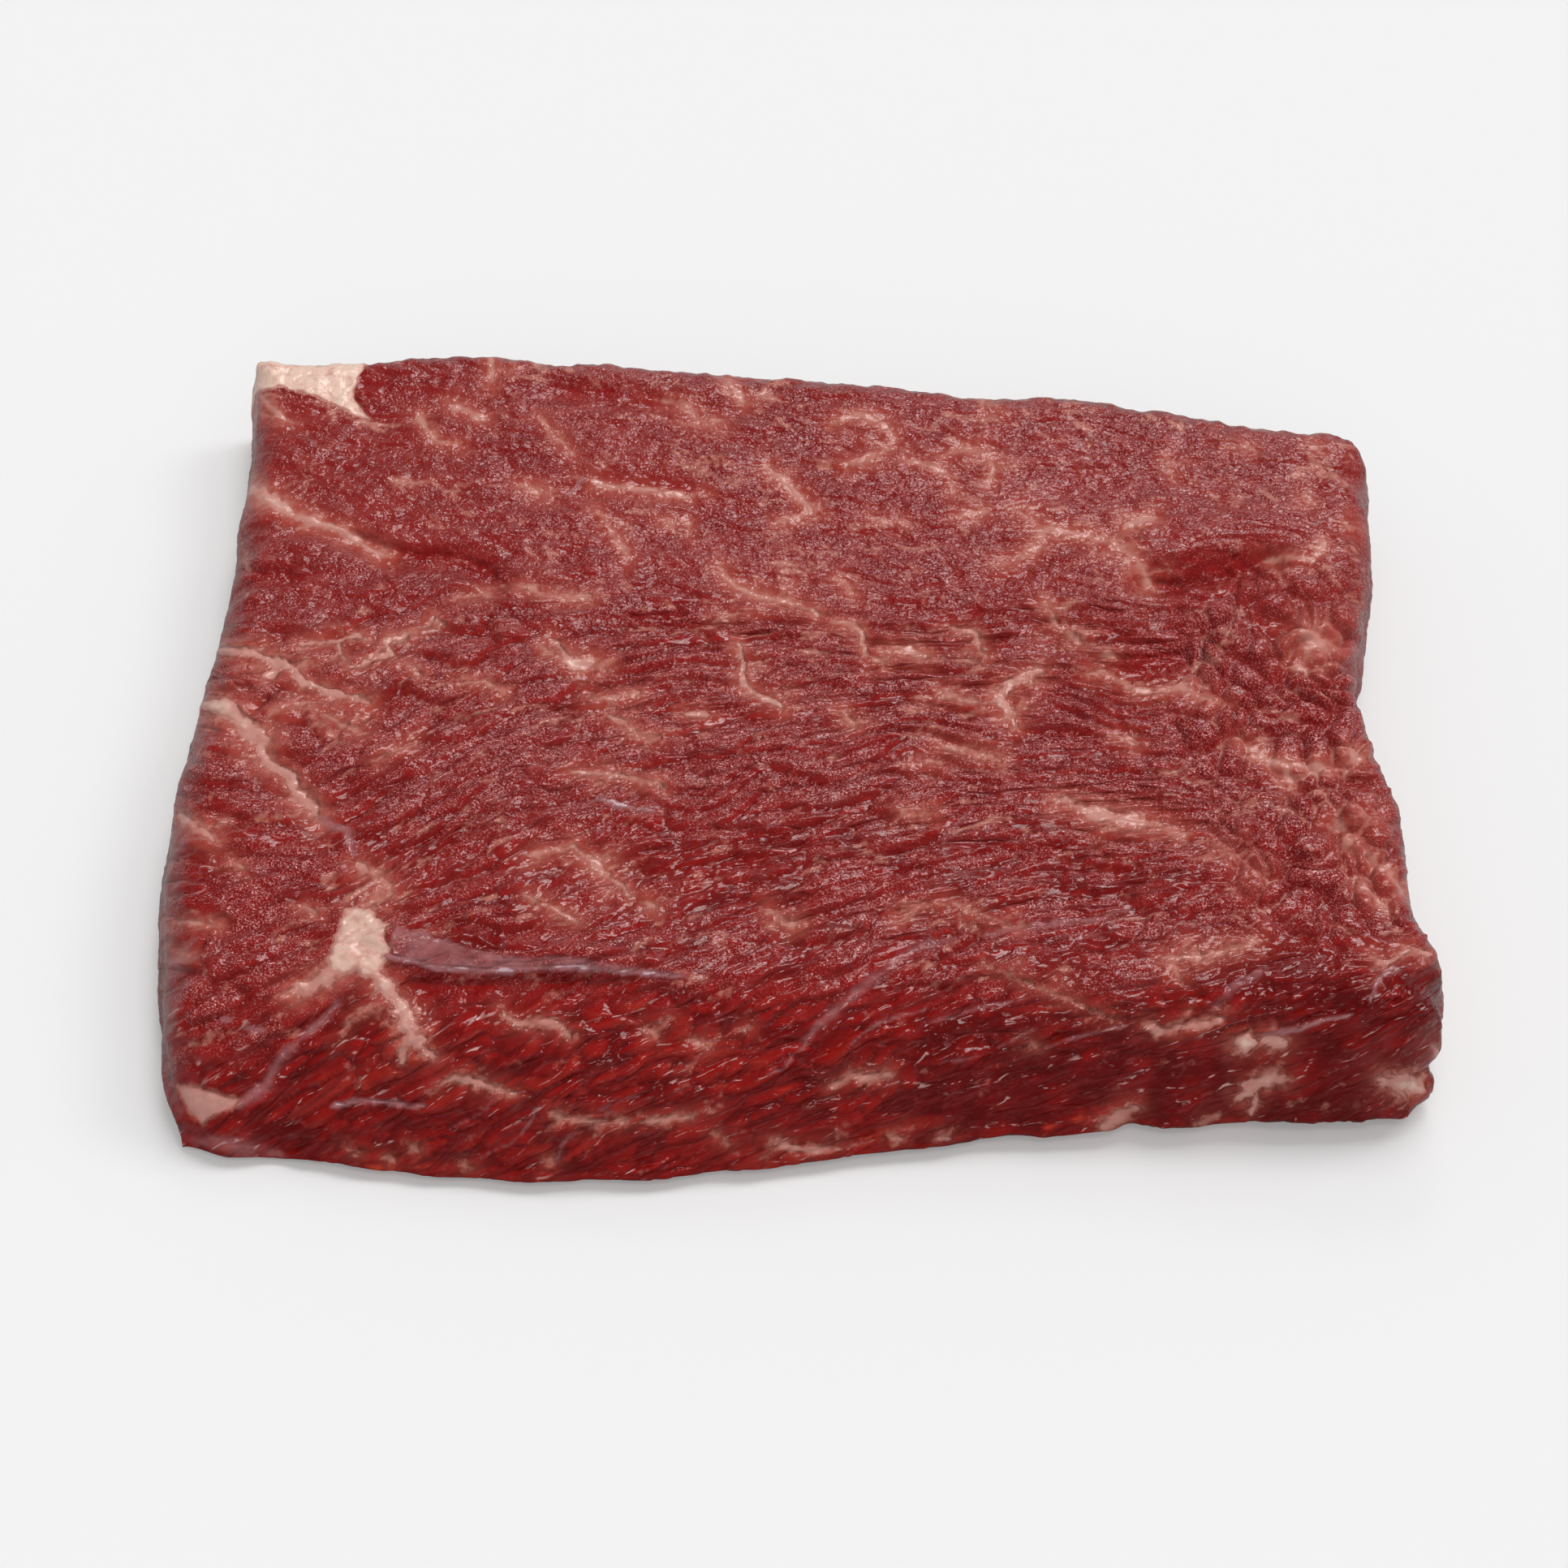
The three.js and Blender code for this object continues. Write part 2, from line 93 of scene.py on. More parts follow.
# Creases and ridges of the top: path, half width and depth
CREASES = [
    ([(-68, 35), (-61, 30), (-52, 29), (-46, 24)], 2.4, 1.5),
    ([(-86, 26), (-78, 26)], 1.8, 0.8),
    ([(-85, 40), (-74, 37), (-62, 29)], 1.8, 0.5),
    ([(54, 22), (63, 24), (72, 28)], 3.0, 2.8),
    ([(56, 31), (70, 34)], 5.5, -1.1),
    ([(47, 3), (52, 4), (58, 7)], 3.4, 2.2),
    ([(-57, -52), (-43, -54), (-30, -55), (-17, -58)], 2.2, -1.5),
    ([(-54, -60), (-43, -61), (-30, -61)], 3.2, 1.7),
    ([(-62, -54), (-60, -49)], 4.2, -1.1),
    ([(-73, -75), (-69, -69), (-64, -62)], 2.2, 1.4),
    ([(-58, -58), (-54, -63), (-52, -68)], 2.2, -0.7),
    ([(-36, 9), (-29, 12), (-18, 13), (-4, 11)], 2.2, 0.7),
    ([(-87, -4), (-81, -10), (-75, -19), (-69, -27)], 2.4, 0.7),
    ([(-86, 8), (-79, 6), (-73, 0), (-63, -4)], 2.0, 0.5),
    ([(-39, 70), (-31, 68), (-21, 65)], 2.6, 0.9),
    ([(38, -21), (46, -19), (55, -21)], 2.6, -0.7),
    ([(38, -25), (50, -26), (58, -29)], 2.2, 0.8),
    ([(19, -51), (9, -60), (2, -68)], 2.6, 0.8),
    ([(26, -50), (35, -47), (47, -45)], 2.4, 0.6),
    ([(77, 10)], 2.4, -1.2),
    ([(80, -28)], 2.8, -1.2),
    ([(81, -21)], 2.2, 1.6),
    ([(-30, -70), (-8, -70)], 7.0, -0.8),
    ([(22, -64), (38, -63)], 4.5, 0.8),
]
# Dents and bulges of the wall: place in plan, height, half height, length and depth
WALL_DENTS = [
    ((85, -66), 8.5, 2.6, 6.5, 2.2),
    ((70, -67), 14.0, 2.2, 8.0, 1.4),
    ((74, -67), 3.5, 2.4, 12.0, -0.9),
    ((-80, -73), 1.6, 1.6, 9.0, 0.9),
    ((83, -5), 12.0, 4.0, 7.0, 1.2),
]
# Swell of the top: size across and along, turn in degrees, height and seed
LUMPS = [(24, 30, 20, 1.1, 11), (9, 13, 12, 0.7, 23), (4.6, 15, 14, 0.55, 37)]
WALL_LUMP_SIZE = 9
WALL_LUMP_HIGH = 1.3
WALL_LUMP_SEED = 51

UNDERSIDE_REACH = 70.0  # from the middle to the underside's edge, which the inset moves in
WALL_STEPS_HIGH = 13.0  # height of the wall by which even steps down it are measured

# Divisions: the solid's own, and the finer ones of the dressed mesh
SOLID_ACROSS, SOLID_DEEP, SOLID_CROWDING = 64, 56, 0.32
FINE_ACROSS, FINE_DEEP, FINE_WALL = 540, 460, 38


def chords(points):
    """Running chord length along the points."""
    return np.concatenate([[0.0], np.cumsum(np.linalg.norm(np.diff(points, axis=0), axis=1))])


def hermite(points, at, t):
    """Smooth curve through the points at the places t along their chord length."""
    last = len(points) - 1
    i = np.clip(np.searchsorted(at, t, side="right") - 1, 0, last - 1)
    before, after = np.maximum(np.arange(last + 1) - 1, 0), np.minimum(np.arange(last + 1) + 1, last)
    slope = (points[after] - points[before]) / (at[after] - at[before])[:, None]
    gap = (at[i + 1] - at[i])[:, None]
    u = ((t - at[i]) / (at[i + 1] - at[i]))[:, None]
    return ((2 * u**3 - 3 * u**2 + 1) * points[i] + (u**3 - 2 * u**2 + u) * gap * slope[i]
            + (3 * u**2 - 2 * u**3) * points[i + 1] + (u**3 - u**2) * gap * slope[i + 1])


def curve_through(points, share):
    """Places on the curve through the points, by share of its length."""
    points = np.asarray(points, float)
    at = chords(points)
    return hermite(points, at, np.clip(share, 0, 1) * at[-1])


def station_value(values, share):
    """Smooth value through evenly spaced stations."""
    last = len(values) - 1
    points = np.array([(i / last * 1000, v) for i, v in enumerate(values)], float)
    at = chords(points)
    s = np.clip(share, 0, 1) * last
    i = np.minimum(last - 1, np.floor(s).astype(int))
    return hermite(points, at, at[i] + (s - i) * (at[i + 1] - at[i]))[:, 1]


def table_value(rows, a, b):
    """Smooth value over a table of stations, rows front to back."""
    last = len(rows) - 1
    y = np.clip(b, 0, 1) * last
    i = np.minimum(last - 1, np.floor(y).astype(int))
    u = smooth(y - i)
    values = np.stack([station_value(row, a) for row in rows])
    k = np.arange(len(a))
    return values[i, k] * (1 - u) + values[i + 1, k] * u


def smooth(t):
    """A soft step from 0 to 1."""
    t = np.clip(t, 0, 1)
    return t * t * (3 - 2 * t)


def lattice_value(i, j, seed):
    """A whole-number hash of a lattice place, from -1 to 1."""
    with np.errstate(over="ignore"):
        i, j = (np.asarray(k).astype(np.int64).astype(np.uint32) for k in (i, j))
        h = i * np.uint32(374761393) ^ j * np.uint32(668265263) ^ np.uint32(seed * 1274126177 % 2**32)
        h = (h ^ (h >> np.uint32(13))) * np.uint32(1274126177)
        h = (h ^ (h >> np.uint32(16))) * np.uint32(2246822519)
        return (h ^ (h >> np.uint32(15))) / 2147483647.5 - 1


def unevenness(x, y, seed):
    """Smooth random unevenness with one lattice cell per unit."""
    i, j = np.floor(x), np.floor(y)
    u, v = smooth(x - i), smooth(y - j)
    low = lattice_value(i, j, seed) * (1 - u) + lattice_value(i + 1, j, seed) * u
    high = lattice_value(i, j + 1, seed) * (1 - u) + lattice_value(i + 1, j + 1, seed) * u
    return low * (1 - v) + high * v


def octaves(x, y, seed, levels=3):
    """Unevenness with finer and weaker unevenness on it."""
    total, size, weight = np.zeros_like(x), 1.0, 1.0
    for k in range(levels):
        total += weight * unevenness(x * size + 13 * k, y * size + 7 * k, seed + k)
        size *= 2.03
        weight *= 0.5
    return total / (2 - 0.5 ** (levels - 1))


def distance_to_path(x, y, path):
    """Distance to a path of one or more points, and how far along it the nearest place is, from 0 to 1."""
    path = np.asarray(path, float)
    best = np.hypot(x - path[0, 0], y - path[0, 1])
    along = np.zeros_like(best)
    if len(path) > 1:
        at = chords(path)
        for k in range(1, len(path)):
            a, b = path[k - 1], path[k] - path[k - 1]
            t = np.clip(((x - a[0]) * b[0] + (y - a[1]) * b[1]) / (b @ b), 0, 1)
            d = np.hypot(x - a[0] - t * b[0], y - a[1] - t * b[1])
            nearer = d < best
            best = np.where(nearer, d, best)
            along = np.where(nearer, (at[k - 1] + t * (at[k] - at[k - 1])) / at[-1], along)
    return best, along


def plan_place(a, b):
    """Place in plan, blended from the four sides, with the slab's depth and width there."""
    front, back = curve_through(FRONT_EDGE, a), curve_through(BACK_EDGE, a)
    left, right = curve_through(LEFT_EDGE, b), curve_through(RIGHT_EDGE, b)
    corners = [np.array(c) for c in (FRONT_EDGE[0], FRONT_EDGE[-1], BACK_EDGE[0], BACK_EDGE[-1])]
    p, q = a[:, None], b[:, None]
    place = ((1 - q) * front + q * back + (1 - p) * left + p * right - (1 - p) * (1 - q) * corners[0]
             - p * (1 - q) * corners[1] - (1 - p) * q * corners[2] - p * q * corners[3])
    return place, np.linalg.norm(back - front, axis=1), np.linalg.norm(right - left, axis=1)


def shoulder_drop(side, share, inside):
    """How far the top lies below its height, so many millimetres inside a side."""
    t = 1 - np.clip(inside / station_value(side["run"], share), 0, 1)
    full = station_value(side["full"], share)
    curve = full * (1 - np.sqrt(np.clip(1 - t * t, 0, 1))) + (1 - full) * t * t
    return station_value(side["drop"], share) * curve


def relief(x, y):
    """Creases and swell of the top."""
    h = np.zeros_like(x)
    for path, half, deep in CREASES:
        d = distance_to_path(x, y, path)[0] / half
        h -= deep * np.exp(-d * d)
    for across, along, turn, high, seed in LUMPS:
        c, s = np.cos(np.radians(turn)), np.sin(np.radians(turn))
        h += 0.5 * high * unevenness((x * c + y * s) / along + 40, (y * c - x * s) / across + 40, seed)
    return h


def top_points(a, b):
    """Points of the top, by their shares across and deep."""
    place, depth, width = plan_place(a, b)
    drops = [
        shoulder_drop(SHOULDERS["front"], a, b * depth),
        shoulder_drop(SHOULDERS["back"], a, (1 - b) * depth),
        shoulder_drop(SHOULDERS["left"], b, a * width),
        shoulder_drop(SHOULDERS["right"], b, (1 - a) * width),
    ]
    drop = sum(d**SHOULDER_BLEND for d in drops) ** (1 / SHOULDER_BLEND)
    z = table_value(SLAB_HEIGHT, a, b) - drop + relief(place[:, 0], place[:, 1])
    return np.column_stack([place, z])


def wall_push(x, y, z):
    """Outward push of the wall at a place and height, from lumps and dents."""
    u, v = (x + y) / WALL_LUMP_SIZE + 40, (z * 1.4 + x - y) / WALL_LUMP_SIZE + 40
    push = 0.5 * WALL_LUMP_HIGH * unevenness(u, v, WALL_LUMP_SEED)
    for (cx, cy), height, half, length, deep in WALL_DENTS:
        far = ((x - cx) ** 2 + (y - cy) ** 2) / length**2
        push = push - deep * np.exp(-far - ((z - height) / half) ** 2)
    return push


def slab(across, deep, crowding, profile):
    """Points and faces: a grid over the top, rows down the wall by the profile, and the underside."""
    def steps(count):
        t = np.linspace(0, 1, count + 1)
        return t - crowding / (2 * np.pi) * np.sin(2 * np.pi * t)

    a, b = (g.ravel() for g in np.meshgrid(steps(across), steps(deep)))
    top = top_points(a, b)
    index = np.arange(len(top)).reshape(deep + 1, across + 1)
    squares = [index[:-1, :-1], index[:-1, 1:], index[1:, 1:], index[1:, :-1]]
    quads = [np.stack(squares, -1).reshape(-1, 4)]
    rim = np.concatenate([index[0, :-1], index[:-1, -1], index[-1, :0:-1], index[:0:-1, 0]])
    edge = top[rim]
    reach = across // SOLID_ACROSS
    lead = np.roll(edge, -reach, 0) - np.roll(edge, reach, 0)
    outward = np.column_stack([lead[:, 1], -lead[:, 0]])
    outward /= np.linalg.norm(outward, axis=1)[:, None]
    points, first, ring = [top], len(top), rim
    for share, offset in profile:
        z = edge[:, 2] * share
        out = offset + wall_push(edge[:, 0], edge[:, 1], z) * 4 * share * (1 - share)
        points.append(np.column_stack([edge[:, :2] + outward * out[:, None], z]))
        lower = first + np.arange(len(rim))
        first += len(rim)
        quads.append(np.stack([ring, lower, np.roll(lower, -1), np.roll(ring, -1)], -1))
        ring = lower
    # Underside with half as many divisions, joined to the wall by one row
    half_across, half_deep = across // 2, deep // 2
    foot = edge[::2, :2] - outward[::2] * UNDERSIDE_INSET
    points.append(np.column_stack([foot, np.zeros(len(foot))]))
    bottom = first + np.arange(len(foot))
    first += len(foot)
    even, middle, later = ring[::2], ring[1::2], np.roll(ring[::2], -1)
    onward = np.roll(bottom, -1)
    corners = ([even, bottom, middle], [middle, bottom, onward], [middle, onward, later])
    tris = [np.stack(three, -1) for three in corners]
    inner = top[index[2:-2:2, 2:-2:2].ravel()]
    shrink = 1 - UNDERSIDE_INSET / UNDERSIDE_REACH
    points.append(np.column_stack([inner[:, :2] * shrink, np.zeros(len(inner))]))
    under = np.empty((half_deep + 1, half_across + 1), int)
    under[1:-1, 1:-1] = first + np.arange(len(inner)).reshape(half_deep - 1, half_across - 1)
    under[0, :] = bottom[: half_across + 1]
    under[:, -1] = bottom[half_across : half_across + half_deep + 1]
    under[-1, ::-1] = bottom[half_across + half_deep : 2 * half_across + half_deep + 1]
    under[:0:-1, 0] = bottom[2 * half_across + half_deep :]
    squares = [under[:-1, :-1], under[1:, :-1], under[1:, 1:], under[:-1, 1:]]
    quads.append(np.stack(squares, -1).reshape(-1, 4))
    wall_end = len(top) + len(profile) * len(rim)
    parts = {"rim": rim, "outward": outward, "wall": slice(len(top), wall_end), "foot": slice(wall_end, None)}
    return np.vstack(points), np.vstack(quads), np.vstack(tris), parts


# Middle of the solid's box in plan, which the solid puts on the z axis
solid_points = slab(SOLID_ACROSS, SOLID_DEEP, SOLID_CROWDING, WALL)[0]
MIDDLE = (solid_points.min(0) + solid_points.max(0))[:2] / 2

# Fine profile of the wall: even steps along the same curve
outline = np.array([(1.0, 0.0), *WALL, (0.0, -UNDERSIDE_INSET)])
outline[:, 0] *= WALL_STEPS_HIGH
profile = curve_through(outline, np.linspace(0, 1, FINE_WALL + 1)[1:-1])
profile[:, 0] /= WALL_STEPS_HIGH
P, quads, tris, parts = slab(FINE_ACROSS, FINE_DEEP, 0.0, profile)
P[:, :2] -= MIDDLE


def vertex_normals(points):
    """Unit normals of the points, by area of the faces round them."""
    n = np.zeros_like(points)
    for faces in (quads, tris):
        c = points[faces]
        across = np.cross(c[:, 2] - c[:, 0], c[:, -1] - c[:, 1])
        for k in range(faces.shape[1]):
            for d in range(3):
                n[:, d] += np.bincount(faces[:, k], weights=across[:, d], minlength=len(points))
    return n / np.maximum(np.linalg.norm(n, axis=1), 1e-9)[:, None]


N = vertex_normals(P)
count = len(P)
rim, wall, foot = parts["rim"], parts["wall"], parts["foot"]
wall_rows = FINE_WALL - 1
sx, sy, sz = P.T.copy()  # places in millimetres, as they are before the fine relief

# Where each point shows in the photograph
up = np.radians(ELEVATION)
eye_dir = np.array([0.0, -np.cos(up), np.sin(up)])
eye = np.array(TARGET) + eye_dir * DISTANCE
rise = np.array([0.0, np.sin(up), np.cos(up)])
away = (P - eye) @ -eye_dir
focal = LENS / SENSOR * PHOTO_SIDE
X = PHOTO_SIDE / 2 + focal * (P - eye)[:, 0] / away
Y = PHOTO_SIDE / 2 - focal * ((P - eye) @ rise) / away

# How much each point is drawn from the photograph: the top and the walls that face the camera. The marks at
# the rim run on down the walls that it doesn't show.
RIM_SMOOTHING = 12  # points of the rim to each side over which its direction is averaged
FACING_FROM, FACING_OVER = -0.02, 0.16  # how squarely a wall has to face the camera to count as shown
RIM_FADE = 4.5  # millimetres below the rim over which a hidden wall loses the look of the top
DRIFT_X, DRIFT_Y = 2.2, 1.6  # pixels that a mark wanders there for each millimetre down
LOSS_AT_RIM, LOSS_OVER, LOSS_MOST = 0.1, 30.0, 0.7  # what the marks lose there, over so many millimetres
GRAZED_LOSS, GRAZED_OVER = 0.9, 4.0  # and on walls that the photograph only grazes, which would smear them
around = parts["outward"]
around = sum(np.roll(around, k, 0) for k in range(-RIM_SMOOTHING, RIM_SMOOTHING + 1))
around /= np.linalg.norm(around, axis=1)[:, None]
to_eye = (eye - P[rim]) / np.linalg.norm(eye - P[rim], axis=1)[:, None]
rim_shown = smooth(((around * to_eye[:, :2]).sum(1) - FACING_FROM) / FACING_OVER)
below = np.tile(P[rim, 2], wall_rows) - sz[wall]
hidden = np.tile(1 - rim_shown, wall_rows) * smooth(below / RIM_FADE)
drift_x = DRIFT_X * below * octaves(sz[wall] / 9 + 5, (sx + sy)[wall] / 30, 41)
drift_y = DRIFT_Y * below * octaves(sz[wall] / 8 + 25, (sx - sy)[wall] / 30, 43)
X[wall] += hidden * (np.tile(X[rim], wall_rows) + drift_x - X[wall])
Y[wall] += hidden * (np.tile(Y[rim], wall_rows) + drift_y - Y[wall])
grazed = np.tile(4 * rim_shown * (1 - rim_shown), wall_rows)
shown, mark = np.ones(count), np.ones(count)
shown[wall] = 1 - hidden
mark[wall] = 1 - hidden * np.clip(LOSS_AT_RIM + below / LOSS_OVER, 0, LOSS_MOST)
mark[wall] *= 1 - GRAZED_LOSS * grazed * smooth(below / GRAZED_OVER)
shown[foot], mark[foot] = 0.0, 0.0
unseen = 1 - shown

# Grain: direction of the muscle bundles at places in the photograph, degrees rising to the right
GRAIN = [
    (420, 480, -20), (600, 500, -8), (870, 500, -8), (1140, 505, -5), (1410, 545, -8), (1600, 590, -12),
    (350, 590, 35), (450, 600, 20), (600, 600, 5), (780, 600, -3), (960, 600, -12), (1140, 600, -15),
    (1320, 600, -4), (1560, 640, -12), (420, 665, -24), (600, 665, -8), (960, 660, 6), (1230, 660, 5),
    (1410, 665, 12), (330, 740, 24), (510, 720, 2), (690, 725, 2), (870, 720, -14), (1050, 720, -14),
    (1230, 720, 10), (1500, 725, 14), (330, 790, 20), (510, 785, 22), (690, 785, 3), (870, 785, 8),
    (1050, 780, -6), (1320, 780, -12), (1600, 780, -8), (330, 860, -10), (510, 850, 15), (690, 850, 10),
    (870, 850, 12), (1050, 850, 8), (1230, 850, 4), (1410, 850, -8), (290, 940, -24), (420, 925, 12),
    (510, 925, 28), (690, 925, 16), (870, 910, 10), (1230, 910, -14), (1410, 920, -12), (300, 1030, 12),
    (510, 1010, 32), (690, 1010, 8), (870, 1010, -4), (1050, 1000, 8), (1320, 1000, 4), (1600, 1000, -4),
    (300, 1110, 8), (510, 1085, 32), (690, 1085, 30), (870, 1085, 22), (1140, 1080, 16), (1500, 1080, 3),
    (1680, 1110, -20), (300, 1190, 12), (600, 1150, 2), (780, 1140, 14), (960, 1150, 22), (1140, 1150, 20),
    (1320, 1150, 10), (1590, 1160, 20), (330, 1240, 34), (600, 1240, 38), (780, 1220, 34), (920, 1215, 34),
    (1060, 1215, 36), (1220, 1220, 24), (1500, 1210, 28), (330, 1300, 38), (430, 1290, 38), (600, 1285, 36),
    (780, 1275, 30), (960, 1285, 33), (1140, 1290, 34), (1320, 1290, 28), (1500, 1300, 28), (1620, 1235, 24),
    (1740, 1200, 46), (1690, 1280, 38), (430, 1375, 34), (600, 1375, 32), (780, 1375, 30), (960, 1375, 26),
    (1140, 1365, 26), (1400, 1350, 22), (1620, 1340, 28),
]
GRAIN_REACH = 55.0  # pixels over which a direction fades into its neighbours
GRAIN_FLAT = 1.3    # how much faster it fades up and down than sideways
CELL = 12.0         # pixels between the places of the grain map
MAP_FROM, MAP_TO = (120, 400), (1860, 1500)
GRAIN_HOLD = 8.0    # how much more the strands' direction counts than their even spacing
FIT_ROUNDS = 1500
FIT_CLOSE = 1e-6    # what is left over when the fit is close enough


def grain_map():
    """Two smooth coordinates over the photograph, along and across the grain, on a coarse map."""
    gx, gy = np.arange(MAP_FROM[0], MAP_TO[0], CELL), np.arange(MAP_FROM[1], MAP_TO[1], CELL)
    mx, my = np.meshgrid(gx, gy)
    c, s = np.zeros_like(mx), np.zeros_like(mx)
    for x, y, angle in GRAIN:
        w = np.exp(-((mx - x) ** 2 + (GRAIN_FLAT * (my - y)) ** 2) / (2 * GRAIN_REACH**2)) + 1e-9
        c += w * np.cos(2 * np.radians(angle))
        s += w * np.sin(2 * np.radians(angle))
    turn = 0.5 * np.arctan2(s, c)
    along = fit_potential(np.cos(turn), -np.sin(turn), 1.0)
    across = fit_potential(np.sin(turn), np.cos(turn), GRAIN_HOLD)
    return gx, gy, along, across, turn


def fit_potential(nx, ny, hold):
    """The coordinate that grows by one a pixel along (nx, ny) and not across it, by conjugate gradients.
    Growth across it counts hold times as much."""
    def centred(f):
        return (f[1:, 1:] + f[1:, :-1] + f[:-1, 1:] + f[:-1, :-1]) / 4

    def weighed(ax, ay):
        on, off = ax * nx + ay * ny, (ay * nx - ax * ny) * hold
        return on * nx - off * ny, on * ny + off * nx

    def slopes(v):
        right = v[1:, 1:] - v[1:, :-1] + v[:-1, 1:] - v[:-1, :-1]
        down = v[1:, 1:] - v[:-1, 1:] + v[1:, :-1] - v[:-1, :-1]
        return right / 2, down / 2

    def spread(ax, ay):
        out = np.zeros((ax.shape[0] + 1, ax.shape[1] + 1))
        out[1:, 1:] += (ax + ay) / 2
        out[1:, :-1] += (ay - ax) / 2
        out[:-1, 1:] += (ax - ay) / 2
        out[:-1, :-1] -= (ax + ay) / 2
        return out

    nx, ny = centred(nx), centred(ny)
    size = np.hypot(nx, ny)
    nx, ny = nx / size, ny / size
    v = np.zeros((nx.shape[0] + 1, nx.shape[1] + 1))
    r = spread(nx * CELL, ny * CELL)
    d = r.copy()
    rr = (r * r).sum()
    for _ in range(FIT_ROUNDS):
        ad = spread(*weighed(*slopes(d)))
        step = rr / (d * ad).sum()
        v += step * d
        r -= step * ad
        new = (r * r).sum()
        if new < FIT_CLOSE:
            break
        d = r + new / rr * d
        rr = new
    return v


def read_map(gx, gy, field, x, y):
    """Bilinear value of a map at the places x, y."""
    u = np.clip((x - gx[0]) / CELL, 0, len(gx) - 1.001)
    v = np.clip((y - gy[0]) / CELL, 0, len(gy) - 1.001)
    i, j = u.astype(int), v.astype(int)
    u, v = u - i, v - j
    return ((field[j, i] * (1 - u) + field[j, i + 1] * u) * (1 - v)
            + (field[j + 1, i] * (1 - u) + field[j + 1, i + 1] * u) * v)


gx, gy, along_map, across_map, turn_map = grain_map()
ALONG, ACROSS = read_map(gx, gy, along_map, X, Y), read_map(gx, gy, across_map, X, Y)


def chance(i, j, seed):
    """A random number for a lattice place, from 0 to 1."""
    return lattice_value(i, j, seed) * 0.5 + 0.5


def cells(u, v, seed, jitter=0.9):
    """Distances to the nearest and second nearest of one scattered seed per unit cell, the nearest's own
    number, and how far the place lies past it in v."""
    iu, iv = np.floor(u), np.floor(v)
    first, second = np.full_like(u, 9.0), np.full_like(u, 9.0)
    own, past = np.zeros_like(u), np.zeros_like(u)
    for di in (-1, 0, 1):
        for dj in (-1, 0, 1):
            ci, cj = iu + di, iv + dj
            px = ci + 0.5 + jitter * (chance(ci, cj, seed) - 0.5)
            py = cj + 0.5 + jitter * (chance(ci, cj, seed + 1) - 0.5)
            d = np.hypot(u - px, v - py)
            nearer = d < first
            second = np.where(nearer, first, np.minimum(second, d))
            own = np.where(nearer, chance(ci, cj, seed + 2), own)
            past = np.where(nearer, v - py, past)
            first = np.where(nearer, d, first)
    return first, second, own, past


def bundles(along, across, long, wide, seed, wander=0.45):
    """Bundles long by wide that overlap like shingles, with their crests on the near side: height, how far a
    place is down the near flank, how near the gap between them is, and a number each, from 0 to about 1."""
    u, v = along / long, across / wide
    v = v + wander * unevenness(u * 1.3 + 9, v * 0.35 + 5, seed + 7)
    u = u + 0.6 * unevenness(u * 0.9 + 31, v * 0.8 + 3, seed + 9)
    first, second, own, past = cells(u + 100, v + 100, seed)
    gap = second - first
    height = smooth(gap / 0.4) * np.clip(0.55 + past, 0, 1.1)
    flank = smooth((past + 0.05) / 0.3) * (1 - smooth((gap - 0.12) / 0.4))
    return height, flank, np.exp(-((gap / 0.12) ** 2)), own


def furrows(along, across, long, wide, seed, sharp=0.42):
    """Long winding furrows that merge and branch: 0 in the furrow, 1 on the swell between."""
    u, v = along / long + 60, across / wide + 60
    v = v + 0.5 * unevenness(u * 1.6, v * 0.4, seed + 5)
    branches = 0.35 * unevenness(u * 2.1 + 7, v * 1.9 + 3, seed + 1)
    return smooth(np.abs(unevenness(u, v, seed) + branches) / sharp)


